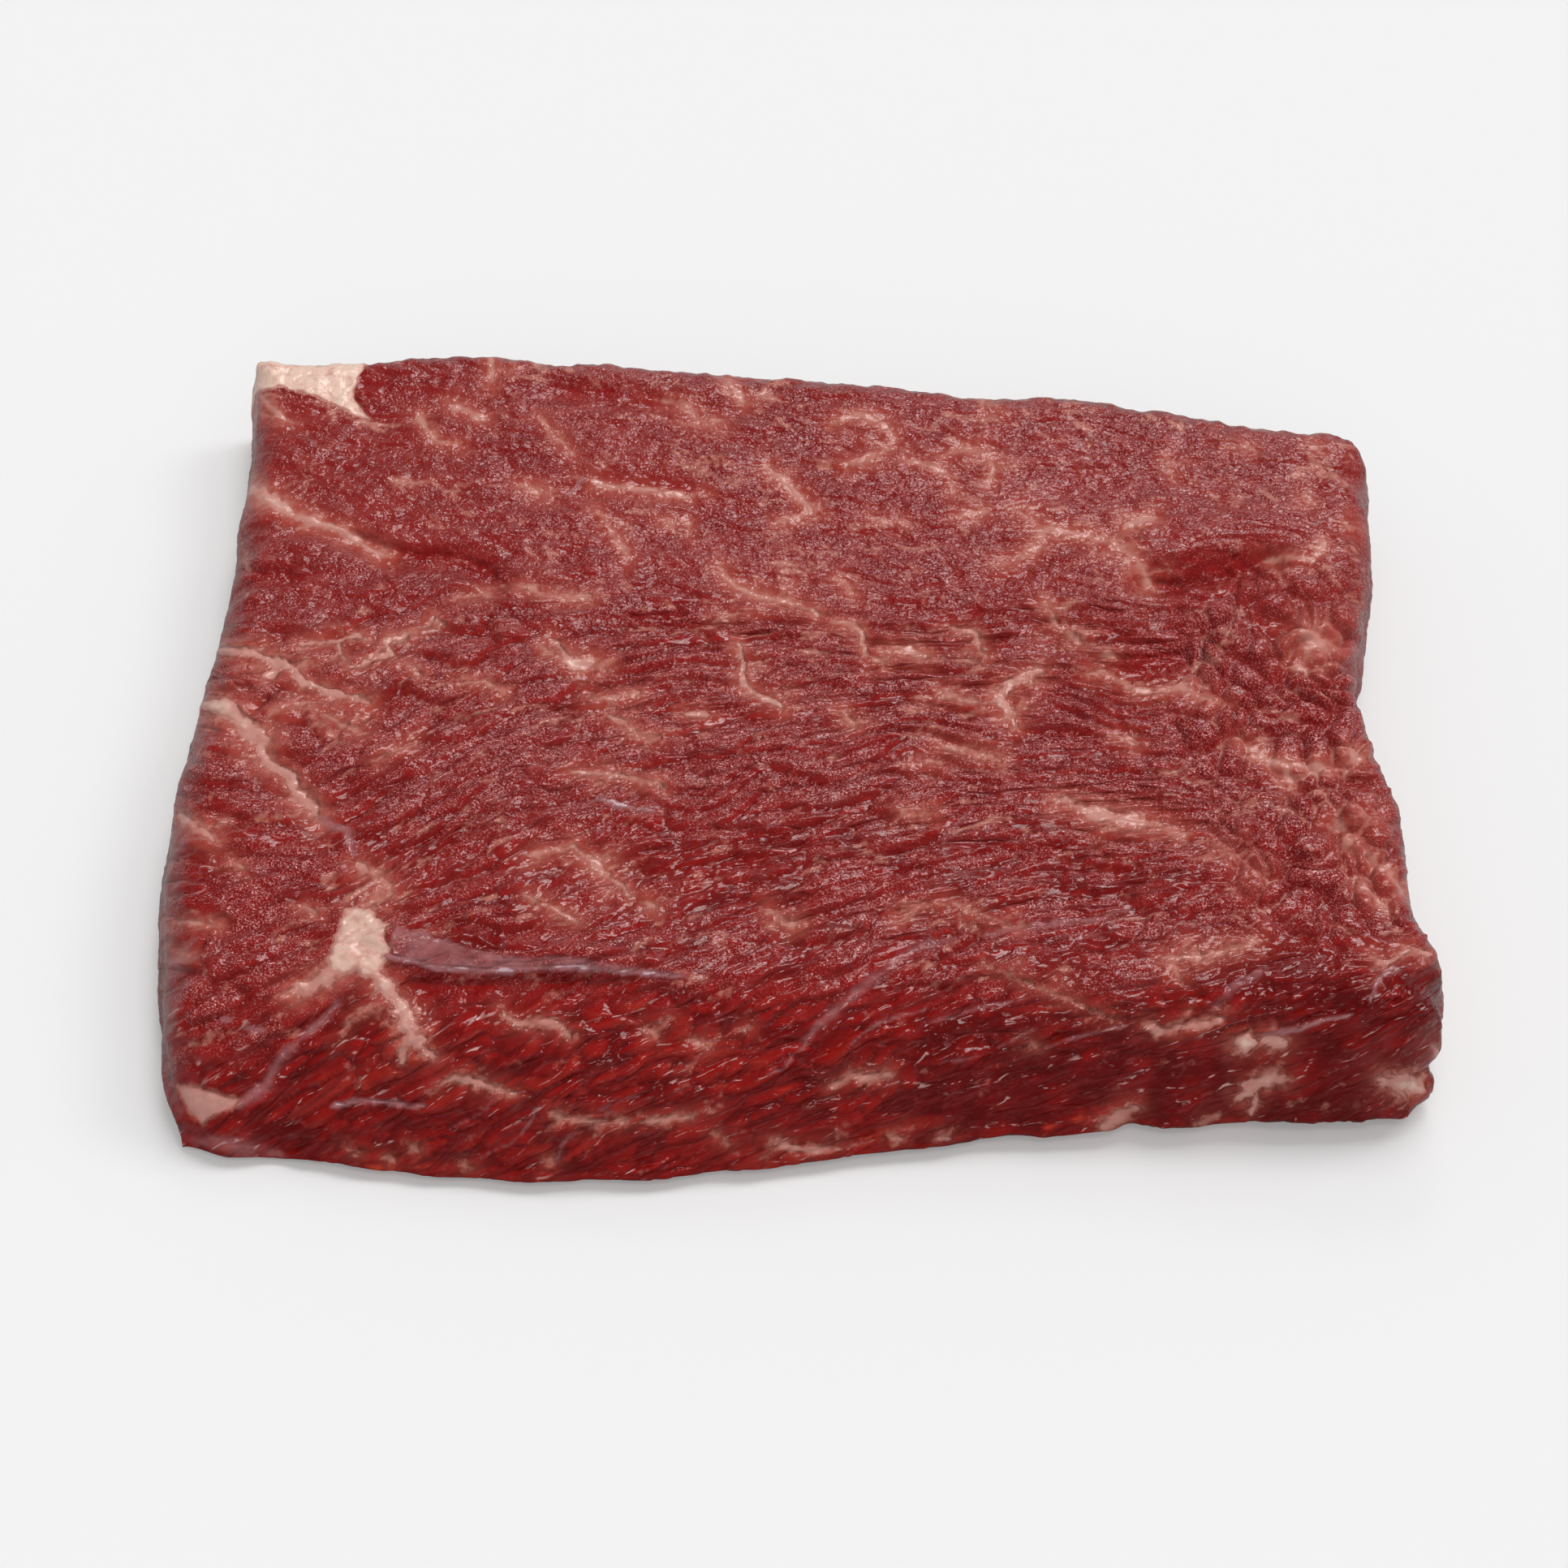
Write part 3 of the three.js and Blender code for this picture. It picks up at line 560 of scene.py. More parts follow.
# Marks read off the photograph, in its pixels: width, strength and path
FAT = [
    # back left corner and the left edge
    (12, 1.1, [(302, 604), (314, 604), (330, 616)]),
    (10, 0.95, [(326, 614), (342, 620), (360, 635)]),
    (7, 0.8, [(360, 635), (390, 643), (418, 654), (441, 666), (463, 680), (483, 685)]),
    (7, 0.7, [(322, 486), (334, 500), (350, 516)]),
    (9, 0.85, [(268, 802), (304, 804), (332, 812), (360, 826), (377, 843), (416, 854), (453, 866)]),
    (15, 1.0, [(254, 872), (276, 870), (294, 886)]),
    (20, 1.0, [(294, 886), (308, 902), (322, 912)]),
    (10, 0.9, [(322, 908), (320, 922), (332, 941), (360, 958), (366, 975), (388, 995), (394, 1008)]),
    (6, 0.65, [(369, 793), (416, 790), (439, 781), (450, 787)]),
    (6, 0.6, [(419, 795), (428, 818), (436, 823), (461, 809), (481, 807), (475, 790), (506, 781),
                (534, 762)]),
    (6, 0.5, [(500, 818), (517, 829)]),
    (7, 0.5, [(332, 880), (360, 868), (388, 866)]),
    (7, 0.55, [(397, 880), (428, 894), (453, 902)]),
    (6, 0.5, [(464, 936), (487, 924), (509, 916)]),
    (6, 0.5, [(562, 843), (588, 840), (621, 851)]),
    (5, 0.4, [(565, 736), (604, 728)]),
    (10, 0.7, [(220, 1004), (242, 1018), (263, 1039)]),
    (7, 0.5, [(284, 1060), (298, 1068)]),
    (6, 0.5, [(205, 1137), (238, 1136), (271, 1140)]),
    (7, 0.4, [(218, 1173), (234, 1176)]),
    (6, 0.5, [(372, 1117), (389, 1126)]),
    # back edge and the upper field
    (6, 0.65, [(604, 444), (608, 460), (605, 474)]),
    (8, 0.6, [(897, 472), (908, 484), (917, 497)]),
    (7, 0.45, [(1210, 491), (1212, 505)]),
    (8, 0.6, [(556, 500), (580, 508), (601, 517)]),
    (7, 0.5, [(517, 511), (536, 539), (567, 548)]),
    (6, 0.4, [(664, 514), (684, 536), (706, 559)]),
    (7, 0.65, [(731, 593), (762, 601), (799, 604), (849, 610)]),
    (7, 0.5, [(636, 596), (655, 603), (675, 610)]),
    (7, 0.45, [(731, 624), (748, 643), (776, 691)]),
    (6, 0.4, [(813, 640), (847, 643), (847, 655)]),
    (9, 0.5, [(818, 494), (855, 506), (866, 523), (889, 520)]),
    (8, 0.65, [(945, 573), (959, 587), (973, 598), (1001, 632)]),
    (8, 0.5, [(1001, 632), (985, 638), (956, 643)]),
    (8, 0.5, [(1025, 520), (1064, 511), (1092, 525), (1101, 542), (1087, 556), (1036, 576)]),
    (7, 0.45, [(1115, 565), (1160, 581), (1174, 604)]),
    (8, 0.55, [(1160, 565), (1182, 553), (1210, 556), (1224, 576), (1216, 598)]),
    (7, 0.4, [(1075, 640), (1115, 646)]),
    (8, 0.5, [(1182, 635), (1213, 632)]),
    (9, 0.5, [(1249, 626), (1283, 652), (1280, 671), (1256, 686), (1233, 697)]),
    (8, 0.65, [(1283, 652), (1350, 663), (1395, 683), (1409, 705), (1416, 721)]),
    (9, 0.65, [(1385, 649), (1404, 641), (1422, 637)]),
    (7, 0.5, [(1030, 713), (1053, 733)]),
    (7, 0.4, [(1436, 561), (1447, 584)]),
    (8, 0.6, [(1562, 690), (1588, 688), (1613, 685), (1630, 671)]),
    (10, 0.4, [(1617, 546), (1626, 554)]),
    (9, 0.4, [(1532, 548), (1543, 553)]),
    (9, 0.4, [(1606, 612), (1615, 618)]),
    (9, 0.4, [(1656, 644), (1667, 652)]),
    # middle
    (7, 0.65, [(676, 790), (687, 795), (699, 812)]),
    (12, 0.9, [(699, 812), (716, 820), (729, 815)]),
    (7, 0.7, [(909, 795), (915, 812), (915, 837), (934, 854), (962, 871)]),
    (7, 0.5, [(642, 722), (676, 731), (690, 736), (727, 735)]),
    (8, 0.6, [(887, 700), (901, 717), (929, 731), (985, 745), (1007, 756)]),
    (6, 0.4, [(881, 762), (912, 755), (943, 750)]),
    (7, 0.5, [(724, 860), (743, 863), (788, 854)]),
    (7, 0.5, [(749, 880), (777, 896), (788, 908), (814, 910)]),
    (7, 0.5, [(844, 877), (873, 882)]),
    (7, 0.55, [(704, 950), (738, 952), (788, 961), (816, 967)]),
    (7, 0.65, [(1028, 767), (1056, 776), (1068, 804), (1090, 821)]),
    (11, 0.7, [(1104, 798), (1122, 802), (1141, 809)]),
    (7, 0.55, [(1174, 773), (1202, 781), (1205, 801), (1216, 812)]),
    (8, 0.5, [(1289, 742), (1296, 756), (1301, 773)]),
    (10, 0.55, [(1301, 773), (1316, 780), (1334, 790)]),
    (11, 0.6, [(1284, 826), (1262, 834), (1244, 843)]),
    (13, 0.9, [(1244, 843), (1230, 860), (1239, 874)]),
    (10, 0.65, [(1239, 874), (1250, 891)]),
    (7, 0.5, [(1034, 874), (1054, 891)]),
    (8, 0.5, [(1155, 851), (1185, 860), (1216, 868)]),
    (9, 0.5, [(1160, 919), (1188, 924), (1216, 930), (1233, 936)]),
    (7, 0.4, [(1127, 936), (1160, 941)]),
    (8, 0.5, [(1374, 905), (1402, 916)]),
    (7, 0.45, [(1110, 1002), (1150, 1000)]),
    # right field
    (9, 0.55, [(1343, 829), (1371, 832), (1393, 846), (1435, 851), (1456, 849), (1492, 868)]),
    (9, 0.5, [(1360, 805), (1372, 809)]),
    (30, 0.65, [(1616, 788), (1623, 792)]),
    (14, 0.6, [(1666, 931), (1672, 935)]),
    (7, 0.7, [(1523, 913), (1550, 930), (1580, 944), (1638, 947)]),
    (7, 0.6, [(1580, 944), (1591, 969)]),
    (24, 0.42, [(1679, 1006), (1684, 1010)]),
    (18, 0.5, [(1659, 1037), (1665, 1041)]),
    (10, 0.6, [(1645, 1012), (1657, 1019)]),
    (8, 0.55, [(1681, 1047), (1707, 1078), (1729, 1103)]),
    (7, 0.5, [(1673, 1092), (1707, 1117)]),
    (8, 0.55, [(1690, 1176), (1707, 1185), (1735, 1171), (1760, 1176)]),
    (10, 0.65, [(1300, 984), (1320, 991), (1343, 1000)]),
    (13, 0.75, [(1343, 1000), (1377, 1008), (1412, 1011)]),
    (10, 0.6, [(1412, 1011), (1437, 1019), (1460, 1026)]),
    (10, 0.3, [(1488, 1036), (1527, 1061), (1555, 1084)]),
    # arms of the fat star
    (13, 0.6, [(439, 1067), (452, 1075), (465, 1078), (478, 1092), (481, 1101)]),
    (20, 0.5, [(476, 1096), (462, 1112), (446, 1126)]),
    (15, 0.85, [(424, 1190), (408, 1202), (388, 1212), (366, 1221)]),
    (15, 0.95, [(462, 1196), (479, 1224), (494, 1238), (501, 1250)]),
    (19, 0.95, [(501, 1250), (505, 1267), (514, 1288)]),
    (10, 0.8, [(514, 1288), (534, 1303)]),
    (6, 0.45, [(473, 1236), (452, 1244), (431, 1253)]),
    # lower field and front slope
    (8, 0.5, [(651, 1056), (680, 1048), (707, 1044)]),
    (10, 0.65, [(707, 1044), (720, 1056), (736, 1067), (750, 1078)]),
    (7, 0.5, [(750, 1078), (775, 1101)]),
    (8, 0.5, [(651, 1106), (682, 1120), (710, 1134)]),
    (9, 0.5, [(798, 1112), (808, 1118)]),
    (8, 0.5, [(949, 1120), (963, 1137), (985, 1137)]),
    (9, 0.6, [(618, 1245), (640, 1261), (688, 1264), (702, 1278)]),
    (10, 0.5, [(796, 1265), (810, 1274)]),
    (9, 0.55, [(850, 1283), (872, 1290)]),
    (8, 0.45, [(908, 1268), (924, 1268)]),
    (5, 0.45, [(485, 1232), (430, 1262), (410, 1290)]),
    (8, 0.65, [(543, 1337), (563, 1329), (606, 1340), (637, 1348)]),
    (9, 0.55, [(679, 1374), (719, 1382), (766, 1382)]),
    (8, 0.55, [(789, 1382), (820, 1380), (853, 1376)]),
    (8, 0.5, [(876, 1396), (901, 1413)]),
    (10, 0.7, [(1049, 1323), (1072, 1328), (1096, 1323)]),
    (8, 0.4, [(1266, 1286), (1280, 1289)]),
    (9, 0.5, [(428, 1415), (440, 1420)]),
    (9, 0.5, [(476, 1425), (486, 1430)]),
    (9, 0.5, [(504, 1414), (514, 1418)]),
    (9, 0.5, [(568, 1435), (580, 1440)]),
    (9, 0.5, [(671, 1431), (683, 1435)]),
    (9, 0.6, [(948, 1404), (985, 1416), (1032, 1415)]),
    (9, 0.5, [(1094, 1401), (1110, 1403)]),
    (9, 0.5, [(1156, 1401), (1172, 1403)]),
    (14, 0.7, [(1397, 1364), (1378, 1376), (1360, 1388)]),
    (4, 0.45, [(1214, 1188), (1279, 1217), (1335, 1239), (1374, 1258)]),
    (9, 0.65, [(1434, 1179), (1460, 1180), (1488, 1176), (1550, 1160)]),
    (8, 0.5, [(1440, 1182), (1454, 1202)]),
    (10, 0.7, [(1412, 1263), (1432, 1270), (1454, 1264)]),
    (9, 0.65, [(1454, 1264), (1480, 1262), (1505, 1256)]),
    (13, 1.1, [(1524, 1284), (1542, 1287)]),
    (14, 1.1, [(1560, 1281), (1580, 1284)]),
    (11, 1.0, [(1572, 1326), (1546, 1341), (1527, 1353)]),
    (6, 0.75, [(1550, 1346), (1540, 1371)]),
    (10, 0.5, [(1500, 1376), (1480, 1384)]),
    (16, 1.2, [(1707, 1333), (1730, 1338), (1749, 1340)]),
    (10, 0.6, [(1732, 1344), (1716, 1350)]),
    (6, 0.4, [(1105, 1134), (1138, 1115), (1166, 1112), (1194, 1120), (1223, 1131), (1256, 1146)]),
    (11, 0.5, [(1768, 1290), (1772, 1302)]),
]
# Patches, as outlines: strength, softness of the edge in pixels, path
FAT_PATCHES = [
    (1.5, 3.0, [
        (300, 440), (337, 436), (456, 442), (434, 478), (434, 489), (456, 518), (427, 506), (376, 484),
        (346, 476), (326, 480), (300, 492)
    ]),
    (1.25, 6.0, [
        (406, 1197), (403, 1180), (414, 1160), (420, 1138), (426, 1122), (442, 1116), (456, 1122),
        (468, 1132), (480, 1142), (472, 1154), (484, 1168), (478, 1184), (468, 1198), (450, 1204),
        (438, 1196), (422, 1202)
    ]),
    (0.95, 8.0, [
        (216, 1338), (236, 1338), (263, 1345), (300, 1354), (288, 1364), (268, 1372), (250, 1384),
        (234, 1370)
    ]),
]
# Silver skin; strokes above about 1 also carry a painted highlight line
SILVER = [
    (3, 0.9, [(698, 610), (710, 598), (723, 590)]),
    (4.5, 1.25, [(734, 988), (768, 994), (803, 1001)]),
    (5, 1.25, [(500, 1184), (540, 1192), (610, 1196), (696, 1191), (766, 1197), (840, 1203)]),
    (4, 1.1, [(473, 1178), (507, 1183), (535, 1192), (560, 1195)]),
    (4, 1.1, [(408, 1362), (451, 1357), (526, 1364)]),
    (11, 0.65, [(292, 1364), (327, 1337), (344, 1306), (366, 1287)]),
    (8, 0.6, [(366, 1287), (394, 1259), (414, 1236)]),
    (8, 0.7, [(394, 1008), (408, 1014), (428, 1028), (437, 1053)]),
    (10, 0.5, [(1178, 1158), (1138, 1164), (1110, 1180), (1063, 1216), (1026, 1247), (992, 1283)]),
    (8, 0.5, [(1217, 1151), (1293, 1137), (1349, 1134), (1391, 1117)]),
    (5, 0.4, [(1203, 997), (1178, 1016), (1164, 1042), (1172, 1064), (1194, 1087), (1203, 1106)]),
    (8, 0.5, [(1680, 858), (1690, 905), (1709, 958)]),
    # Painted highlight lines along a crest and a wet edge of the right wall
    (3.5, 0.9, [(1548, 1274), (1597, 1268), (1636, 1256), (1666, 1249)]),
    (4, 1.05, [(1688, 1236), (1696, 1214), (1708, 1198), (1730, 1191)]),
    (16, 0.5, [(240, 1404), (300, 1414), (344, 1422)]),
    (10, 0.5, [(1496, 1241), (1524, 1216), (1552, 1202)]),
    # painted highlights on the crests of the bundles in front, in the silver skin's colour
    (3.5, 0.5, [(592, 1426), (639, 1401), (664, 1364)]),
    (3.5, 0.55, [(684, 1430), (694, 1406), (724, 1392), (756, 1368)]),
    (3.5, 0.45, [(556, 1390), (590, 1372), (610, 1352)]),
    (3.5, 0.6, [(946, 1324), (964, 1316), (980, 1298), (1003, 1273)]),
    (3.5, 0.5, [(739, 1368), (756, 1359), (787, 1350)]),
    (3.5, 0.55, [(1045, 1290), (1080, 1262), (1140, 1243)]),
    (3.5, 0.55, [(1140, 1262), (1200, 1245), (1275, 1228)]),
    (3.5, 0.5, [(1290, 1292), (1340, 1275), (1385, 1265)]),
    (3.5, 0.5, [(1230, 1290), (1275, 1268)]),
    (3.5, 0.45, [(1160, 1310), (1210, 1300)]),
    (7, 0.55, [(272, 1255), (285, 1256)]),
    (7, 0.55, [(302, 1266), (328, 1270)]),
]
SILVER_PATCHES = [
    (0.60, 2.5, [
        (486, 1140), (521, 1148), (563, 1162), (620, 1178), (682, 1176), (710, 1179), (766, 1189),
        (838, 1202), (794, 1202), (696, 1197), (610, 1198), (535, 1194), (500, 1182), (478, 1166)
    ]),
]
# Dark wet places
BLOOD = [
    (12, 0.8, [(678, 476), (745, 484), (813, 494)]),
    (15, 0.9, [(737, 586), (790, 590), (852, 600)]),
    (7, 0.8, [(1016, 656), (1115, 654)]),
    (15, 0.9, [(489, 674), (559, 682), (601, 696)]),
    (8, 0.8, [(472, 711), (486, 730)]),
    (22, 1.0, [(1424, 704), (1492, 700), (1560, 682)]),
    (20, 0.6, [(1440, 660), (1487, 660)]),
    (24, 1.0, [(1378, 832), (1414, 822), (1452, 812)]),
    (8, 0.8, [(1384, 892), (1387, 896)]),
    (10, 0.8, [(1148, 762), (1180, 760), (1204, 752)]),
    (7, 0.7, [(1100, 748), (1130, 746)]),
    (9, 0.7, [(780, 756), (844, 755)]),
    (14, 0.8, [(500, 1214), (570, 1218), (640, 1218), (696, 1214)]),
    (16, 0.7, [(212, 1366), (236, 1376)]),
    (14, 0.5, [(470, 640), (560, 652)]),
    (10, 0.7, [(1681, 985), (1684, 993)]),
    (18, 0.5, [(440, 470), (480, 474)]),
    (22, 0.4, [(340, 500), (400, 520)]),
]
# Orange-red glow where thin meat lies over fat
EMBERS = [
    (14, 1.2, [(216, 1364), (244, 1378)]),
    (8, 1.2, [(1060, 1404), (1110, 1392), (1170, 1378)]),
    (8, 1.2, [(1290, 1388), (1350, 1374), (1400, 1358)]),
    (7, 1.2, [(430, 1436), (480, 1440), (530, 1436)]),
    (9, 1.2, [(486, 1268), (496, 1290), (512, 1304)]),
    (10, 1.2, [(655, 1284), (672, 1274)]),
    (6, 1.2, [(788, 1300), (830, 1292)]),
    (6, 1.2, [(955, 1346), (992, 1336)]),
    (8, 1.2, [(876, 1344), (890, 1338)]),
    (8, 1.2, [(686, 1388), (708, 1378)]),
]
# Raised lobes of muscle on the right wall and along the front
LOBES = [
    (14, 0.8, [(1502, 1250), (1540, 1222), (1598, 1196)]),
    (13, 0.6, [(1568, 1226), (1630, 1204), (1690, 1200)]),
    (9, 0.7, [(1588, 1272), (1640, 1262), (1690, 1246), (1722, 1216)]),
    (15, 0.8, [(1582, 1352), (1630, 1334), (1692, 1322)]),
    (12, 0.6, [(1600, 1312), (1650, 1300), (1704, 1280)]),
    (10, 0.7, [(1705, 1232), (1722, 1206), (1748, 1194)]),
    (9, 0.5, [(1500, 1366), (1580, 1368), (1660, 1370), (1736, 1362)]),
    (16, 0.6, [(1240, 1262), (1300, 1240), (1370, 1226)]),
    (15, 0.6, [(1120, 1322), (1190, 1296), (1270, 1290)]),
    (14, 0.6, [(1290, 1336), (1350, 1318), (1430, 1312)]),
    (14, 0.6, [(930, 1322), (990, 1292), (1040, 1262)]),
    (13, 0.6, [(770, 1330), (830, 1296), (880, 1256)]),
    (13, 0.6, [(600, 1306), (650, 1276), (690, 1236)]),
    (12, 0.6, [(560, 1376), (620, 1352), (680, 1318)]),
    (12, 0.6, [(236, 1396), (290, 1376), (330, 1352)]),
    (12, 0.5, [(400, 1340), (450, 1310), (480, 1280)]),
    (11, 0.5, [(252, 1330), (280, 1290), (300, 1250)]),
]
# Gaps and grooves, deepened in the relief and darkened with painted shade
GROOVES = [
    (5, 0.5, [(690, 790), (746, 776), (816, 767), (950, 780)]),
    (6, 0.8, [(433, 654), (489, 677), (559, 685), (601, 699), (609, 711)]),
    (6, 0.7, [(292, 699), (320, 705), (354, 702)]),
    (7, 1.0, [(1428, 718), (1460, 720), (1492, 713), (1530, 702), (1560, 688)]),
    (5, 0.8, [(780, 756), (844, 755)]),
    (7, 1.0, [(500, 1208), (570, 1211), (640, 1210), (720, 1208)]),
    (7, 0.9, [(322, 1340), (338, 1312), (352, 1296)]),
    (7, 0.8, [(288, 1338), (310, 1330), (330, 1340)]),
    (5, 0.6, [(1300, 972), (1340, 966), (1380, 974), (1441, 980)]),
    (5, 0.6, [(1330, 950), (1390, 946), (1441, 952)]),
    (9, 1.0, [(1512, 1266), (1560, 1253), (1602, 1245), (1668, 1238)]),
    (6, 0.8, [(1690, 1262), (1712, 1244), (1734, 1214)]),
    (5, 0.7, [(1560, 1306), (1620, 1290), (1690, 1276)]),
    (5, 0.6, [(1470, 1216), (1500, 1206), (1540, 1196)]),
    (8, 1.0, [(1696, 1312), (1725, 1320), (1752, 1326)]),
    (6, 0.7, [(1454, 1204), (1480, 1224), (1506, 1244)]),
    (6, 0.7, [(240, 1396), (300, 1408), (345, 1414)]),
    (6, 0.7, [(236, 1388), (268, 1384), (290, 1370)]),
    (6, 0.7, [(434, 478), (436, 492), (450, 512)]),
]

# How a stroke is laid on the points, in pixels and shares of its width
STROKE_STEPS = 5            # places on the curve for each point of a path
STROKE_REACH = (2.4, 14.0)  # how far from the path points are looked at: share of the width, and pixels more
HALO_REACH = (0.9, 7.0)     # how far the glow round a stroke goes, told the same way
HALF_WIDTH = 0.68           # share of the width that lies on each side of the path
THINNEST = 0.8              # least half width in pixels
TAPER = 0.55                # share of the half width that narrows toward the two ends
LEAST_MARK = 0.01           # below this a point takes no marks

# Wobble of the strokes, roughness of their edges and patchiness along them
wobbly_x = X + 3.2 * octaves(X / 26, Y / 20, 61) + 1.6 * unevenness(X / 7, Y / 6, 63)
wobbly_y = Y + 2.6 * octaves(X / 24 + 50, Y / 18, 67) + 1.3 * unevenness(X / 6 + 50, Y / 5, 69)
rough = octaves(X / 6.5, Y / 5, 71)
blotch = octaves(X / 16 + 20, Y / 12 + 20, 73)


def stroke(width, path, fray=0.4, edge=3.0):
    """How strongly a stroke in the photograph covers the points near it, with frayed edges, and its halo."""
    path = np.asarray(path, float)
    if len(path) > 2:
        path = curve_through(path, np.linspace(0, 1, STROKE_STEPS * len(path)))
    reach = width * STROKE_REACH[0] + STROKE_REACH[1]
    low, high = path.min(0) - reach, path.max(0) + reach
    inside = (X > low[0]) & (X < high[0]) & (Y > low[1]) & (Y < high[1])
    near = np.nonzero(inside & (mark > LEAST_MARK))[0]
    d, t = distance_to_path(wobbly_x[near], wobbly_y[near], path)
    half = HALF_WIDTH * width * (1 + fray * rough[near] + 0.35 * blotch[near])
    half *= 1 - TAPER + TAPER * np.sqrt(np.sin(np.pi * (0.04 + 0.92 * t)))
    cover = 1 / (1 + (d / np.maximum(half, THINNEST)) ** edge)
    halo = np.exp(-((d / (width * HALO_REACH[0] + HALO_REACH[1])) ** 2))
    patchy = 0.82 + 0.45 * blotch[near]
    return near, cover * patchy * mark[near], halo * mark[near]


def paint(layer, strokes, fray=0.4, edge=3.0):
    """Lay the strokes on a layer, the stronger of the two where they meet."""
    for width, strength, path in strokes:
        near, cover, _ = stroke(width, path, fray, edge)
        layer[near] = np.maximum(layer[near], strength * cover)


def patch(path, edge):
    """Cover of a filled outline in the photograph, with an edge so many pixels soft."""
    path = np.asarray(path, float)
    hit = np.zeros(count, bool)
    for (x0, y0), (x1, y1) in zip(path, np.roll(path, -1, 0)):
        cross = (wobbly_y > y0) != (wobbly_y > y1)
        with np.errstate(divide="ignore", invalid="ignore"):
            hit ^= cross & (wobbly_x < (x1 - x0) * (wobbly_y - y0) / (y1 - y0) + x0)
    d = distance_to_path(wobbly_x, wobbly_y, np.vstack([path, path[:1]]))[0]
    return smooth((np.where(hit, d, -d) + edge) / (2 * edge)) * mark


# Side branches of the seams, in pixels and degrees
SPUR_EVERY = 24.0       # length of seam for each branch
SPUR_SEED = 12
SPUR_PLACES = 24        # places along a seam where one may start
SPUR_TURN = 14          # spread of their direction about the grain
SPUR_REACH = (9, 34)
SPUR_BEND = 0.18
SPUR_WIDTH = (0.5, 0.85)
SPUR_STRENGTH = (0.35, 0.7)


def with_spurs(strokes):
    """The strokes with short side branches along the grain, as seams run on between the bundles."""
    draw = np.random.default_rng(SPUR_SEED)
    grown = list(strokes)
    for width, strength, path in strokes:
        path = np.asarray(path, float)
        if len(path) > 2:
            line = curve_through(path, np.linspace(0, 1, SPUR_PLACES))
        else:
            line = np.linspace(path[0], path[-1], SPUR_PLACES)
        for _ in range(int(chords(line)[-1] / SPUR_EVERY + draw.random())):
            x, y = line[draw.integers(0, SPUR_PLACES)]
            grain = read_map(gx, gy, turn_map, np.array([x]), np.array([y]))[0]
            turn = np.radians(draw.normal(0, SPUR_TURN)) + grain
            reach = draw.choice((-1, 1)) * draw.uniform(*SPUR_REACH)
            bend = draw.uniform(-SPUR_BEND, SPUR_BEND) * reach
            c, s = np.cos(turn), np.sin(turn)
            middle = (x + 0.5 * reach * c - bend * s, y - 0.5 * reach * s - bend * c)
            tip = (x + reach * c, y - reach * s)
            thin, weak = draw.uniform(*SPUR_WIDTH), draw.uniform(*SPUR_STRENGTH)
            grown.append((width * thin, strength * weak, [(x, y), middle, tip]))
    return grown


SEAM_STRENGTH = 1.2
fat, halo, silver, blood, groove, lobe = (np.zeros(count) for _ in range(6))
for width, strength, path in with_spurs(FAT):
    near, cover, glow = stroke(width, path)
    fat[near] = np.maximum(fat[near], SEAM_STRENGTH * strength * cover)
    halo[near] = np.maximum(halo[near], SEAM_STRENGTH * strength * glow)
for strength, edge, path in FAT_PATCHES:
    fat = np.maximum(fat, strength * patch(path, edge))
paint(silver, SILVER, fray=0.2)
for strength, edge, path in SILVER_PATCHES:
    silver = np.maximum(silver, strength * (0.8 + 0.6 * blotch) * patch(path, edge))
paint(lobe, LOBES, fray=0.3, edge=2.2)
paint(blood, BLOOD, edge=2.5)
paint(groove, GROOVES, fray=0.3, edge=2.5)
fat *= 1 - 0.8 * np.clip(silver, 0, 1)

# Parts of the picture: the front slope, the far field, and the network of cells on the right
FRONT_ROW, FRONT_FADE = 1165, 100
FRONT_UP_AT_RIGHT, FRONT_DOWN_AT_LEFT = 45, 90
UPPER_ROW, UPPER_FADE = 790, 90
front_row = FRONT_ROW - FRONT_UP_AT_RIGHT * smooth((X - 1350) / 200)
front_row += FRONT_DOWN_AT_LEFT * smooth((450 - X) / 150)
front = smooth((Y - front_row + 30 * octaves(X / 90, Y / 60, 81)) / FRONT_FADE) * shown
upper = smooth((UPPER_ROW - Y + 25 * octaves(X / 80, Y / 50, 83)) / UPPER_FADE) * shown


def spot(x, y, half_x, half_y, power=2):
    """A soft round field about a place in the photograph."""
    return np.exp(-(((X - x) / half_x) ** power) - ((Y - y) / half_y) ** power)


net = np.maximum(spot(1575, 840, 135, 150, 4), 0.75 * spot(1620, 1060, 150, 120, 4))
net = smooth(net * 1.3 - 0.15) * shown

# Bundles so many pixels long and wide: the large ones, the small ones and the strands in front
large, large_flank, large_gap, large_own = bundles(ALONG, ACROSS, 110, 23, 101, 0.7)
fine, fine_flank, fine_gap, _ = bundles(ALONG, ACROSS, 66, 12, 111, 0.6)
strand, _, strand_gap, strand_own = bundles(ALONG, ACROSS, 62, 12, 121, 0.5)

# Cobbles of the network, in leaning rows
NET_LONG, NET_WIDE = 38, 27
NET_LEAN = (0.94, 0.34)
NET_WOBBLE = 0.6
net_u = (NET_LEAN[0] * X + NET_LEAN[1] * Y) / NET_LONG + 100
net_u += NET_WOBBLE * unevenness(X / 50, Y / 40, 175)
net_v = (NET_LEAN[0] * Y - NET_LEAN[1] * X) / NET_WIDE + 100
net_v += NET_WOBBLE * unevenness(X / 46 + 9, Y / 38 + 4, 177)
net_near, net_next, net_own, net_past = cells(net_u, net_v, 171, 1.0)
dome = np.clip(1 - (net_near / 0.66) ** 2, 0, 1)
net_gap = np.exp(-(((net_next - net_near) / 0.15) ** 2))
net_flank = smooth((net_past - 0.1) / 0.3) * (1 - 0.7 * dome)
pillow = smooth((net_next - net_near) / 0.38)
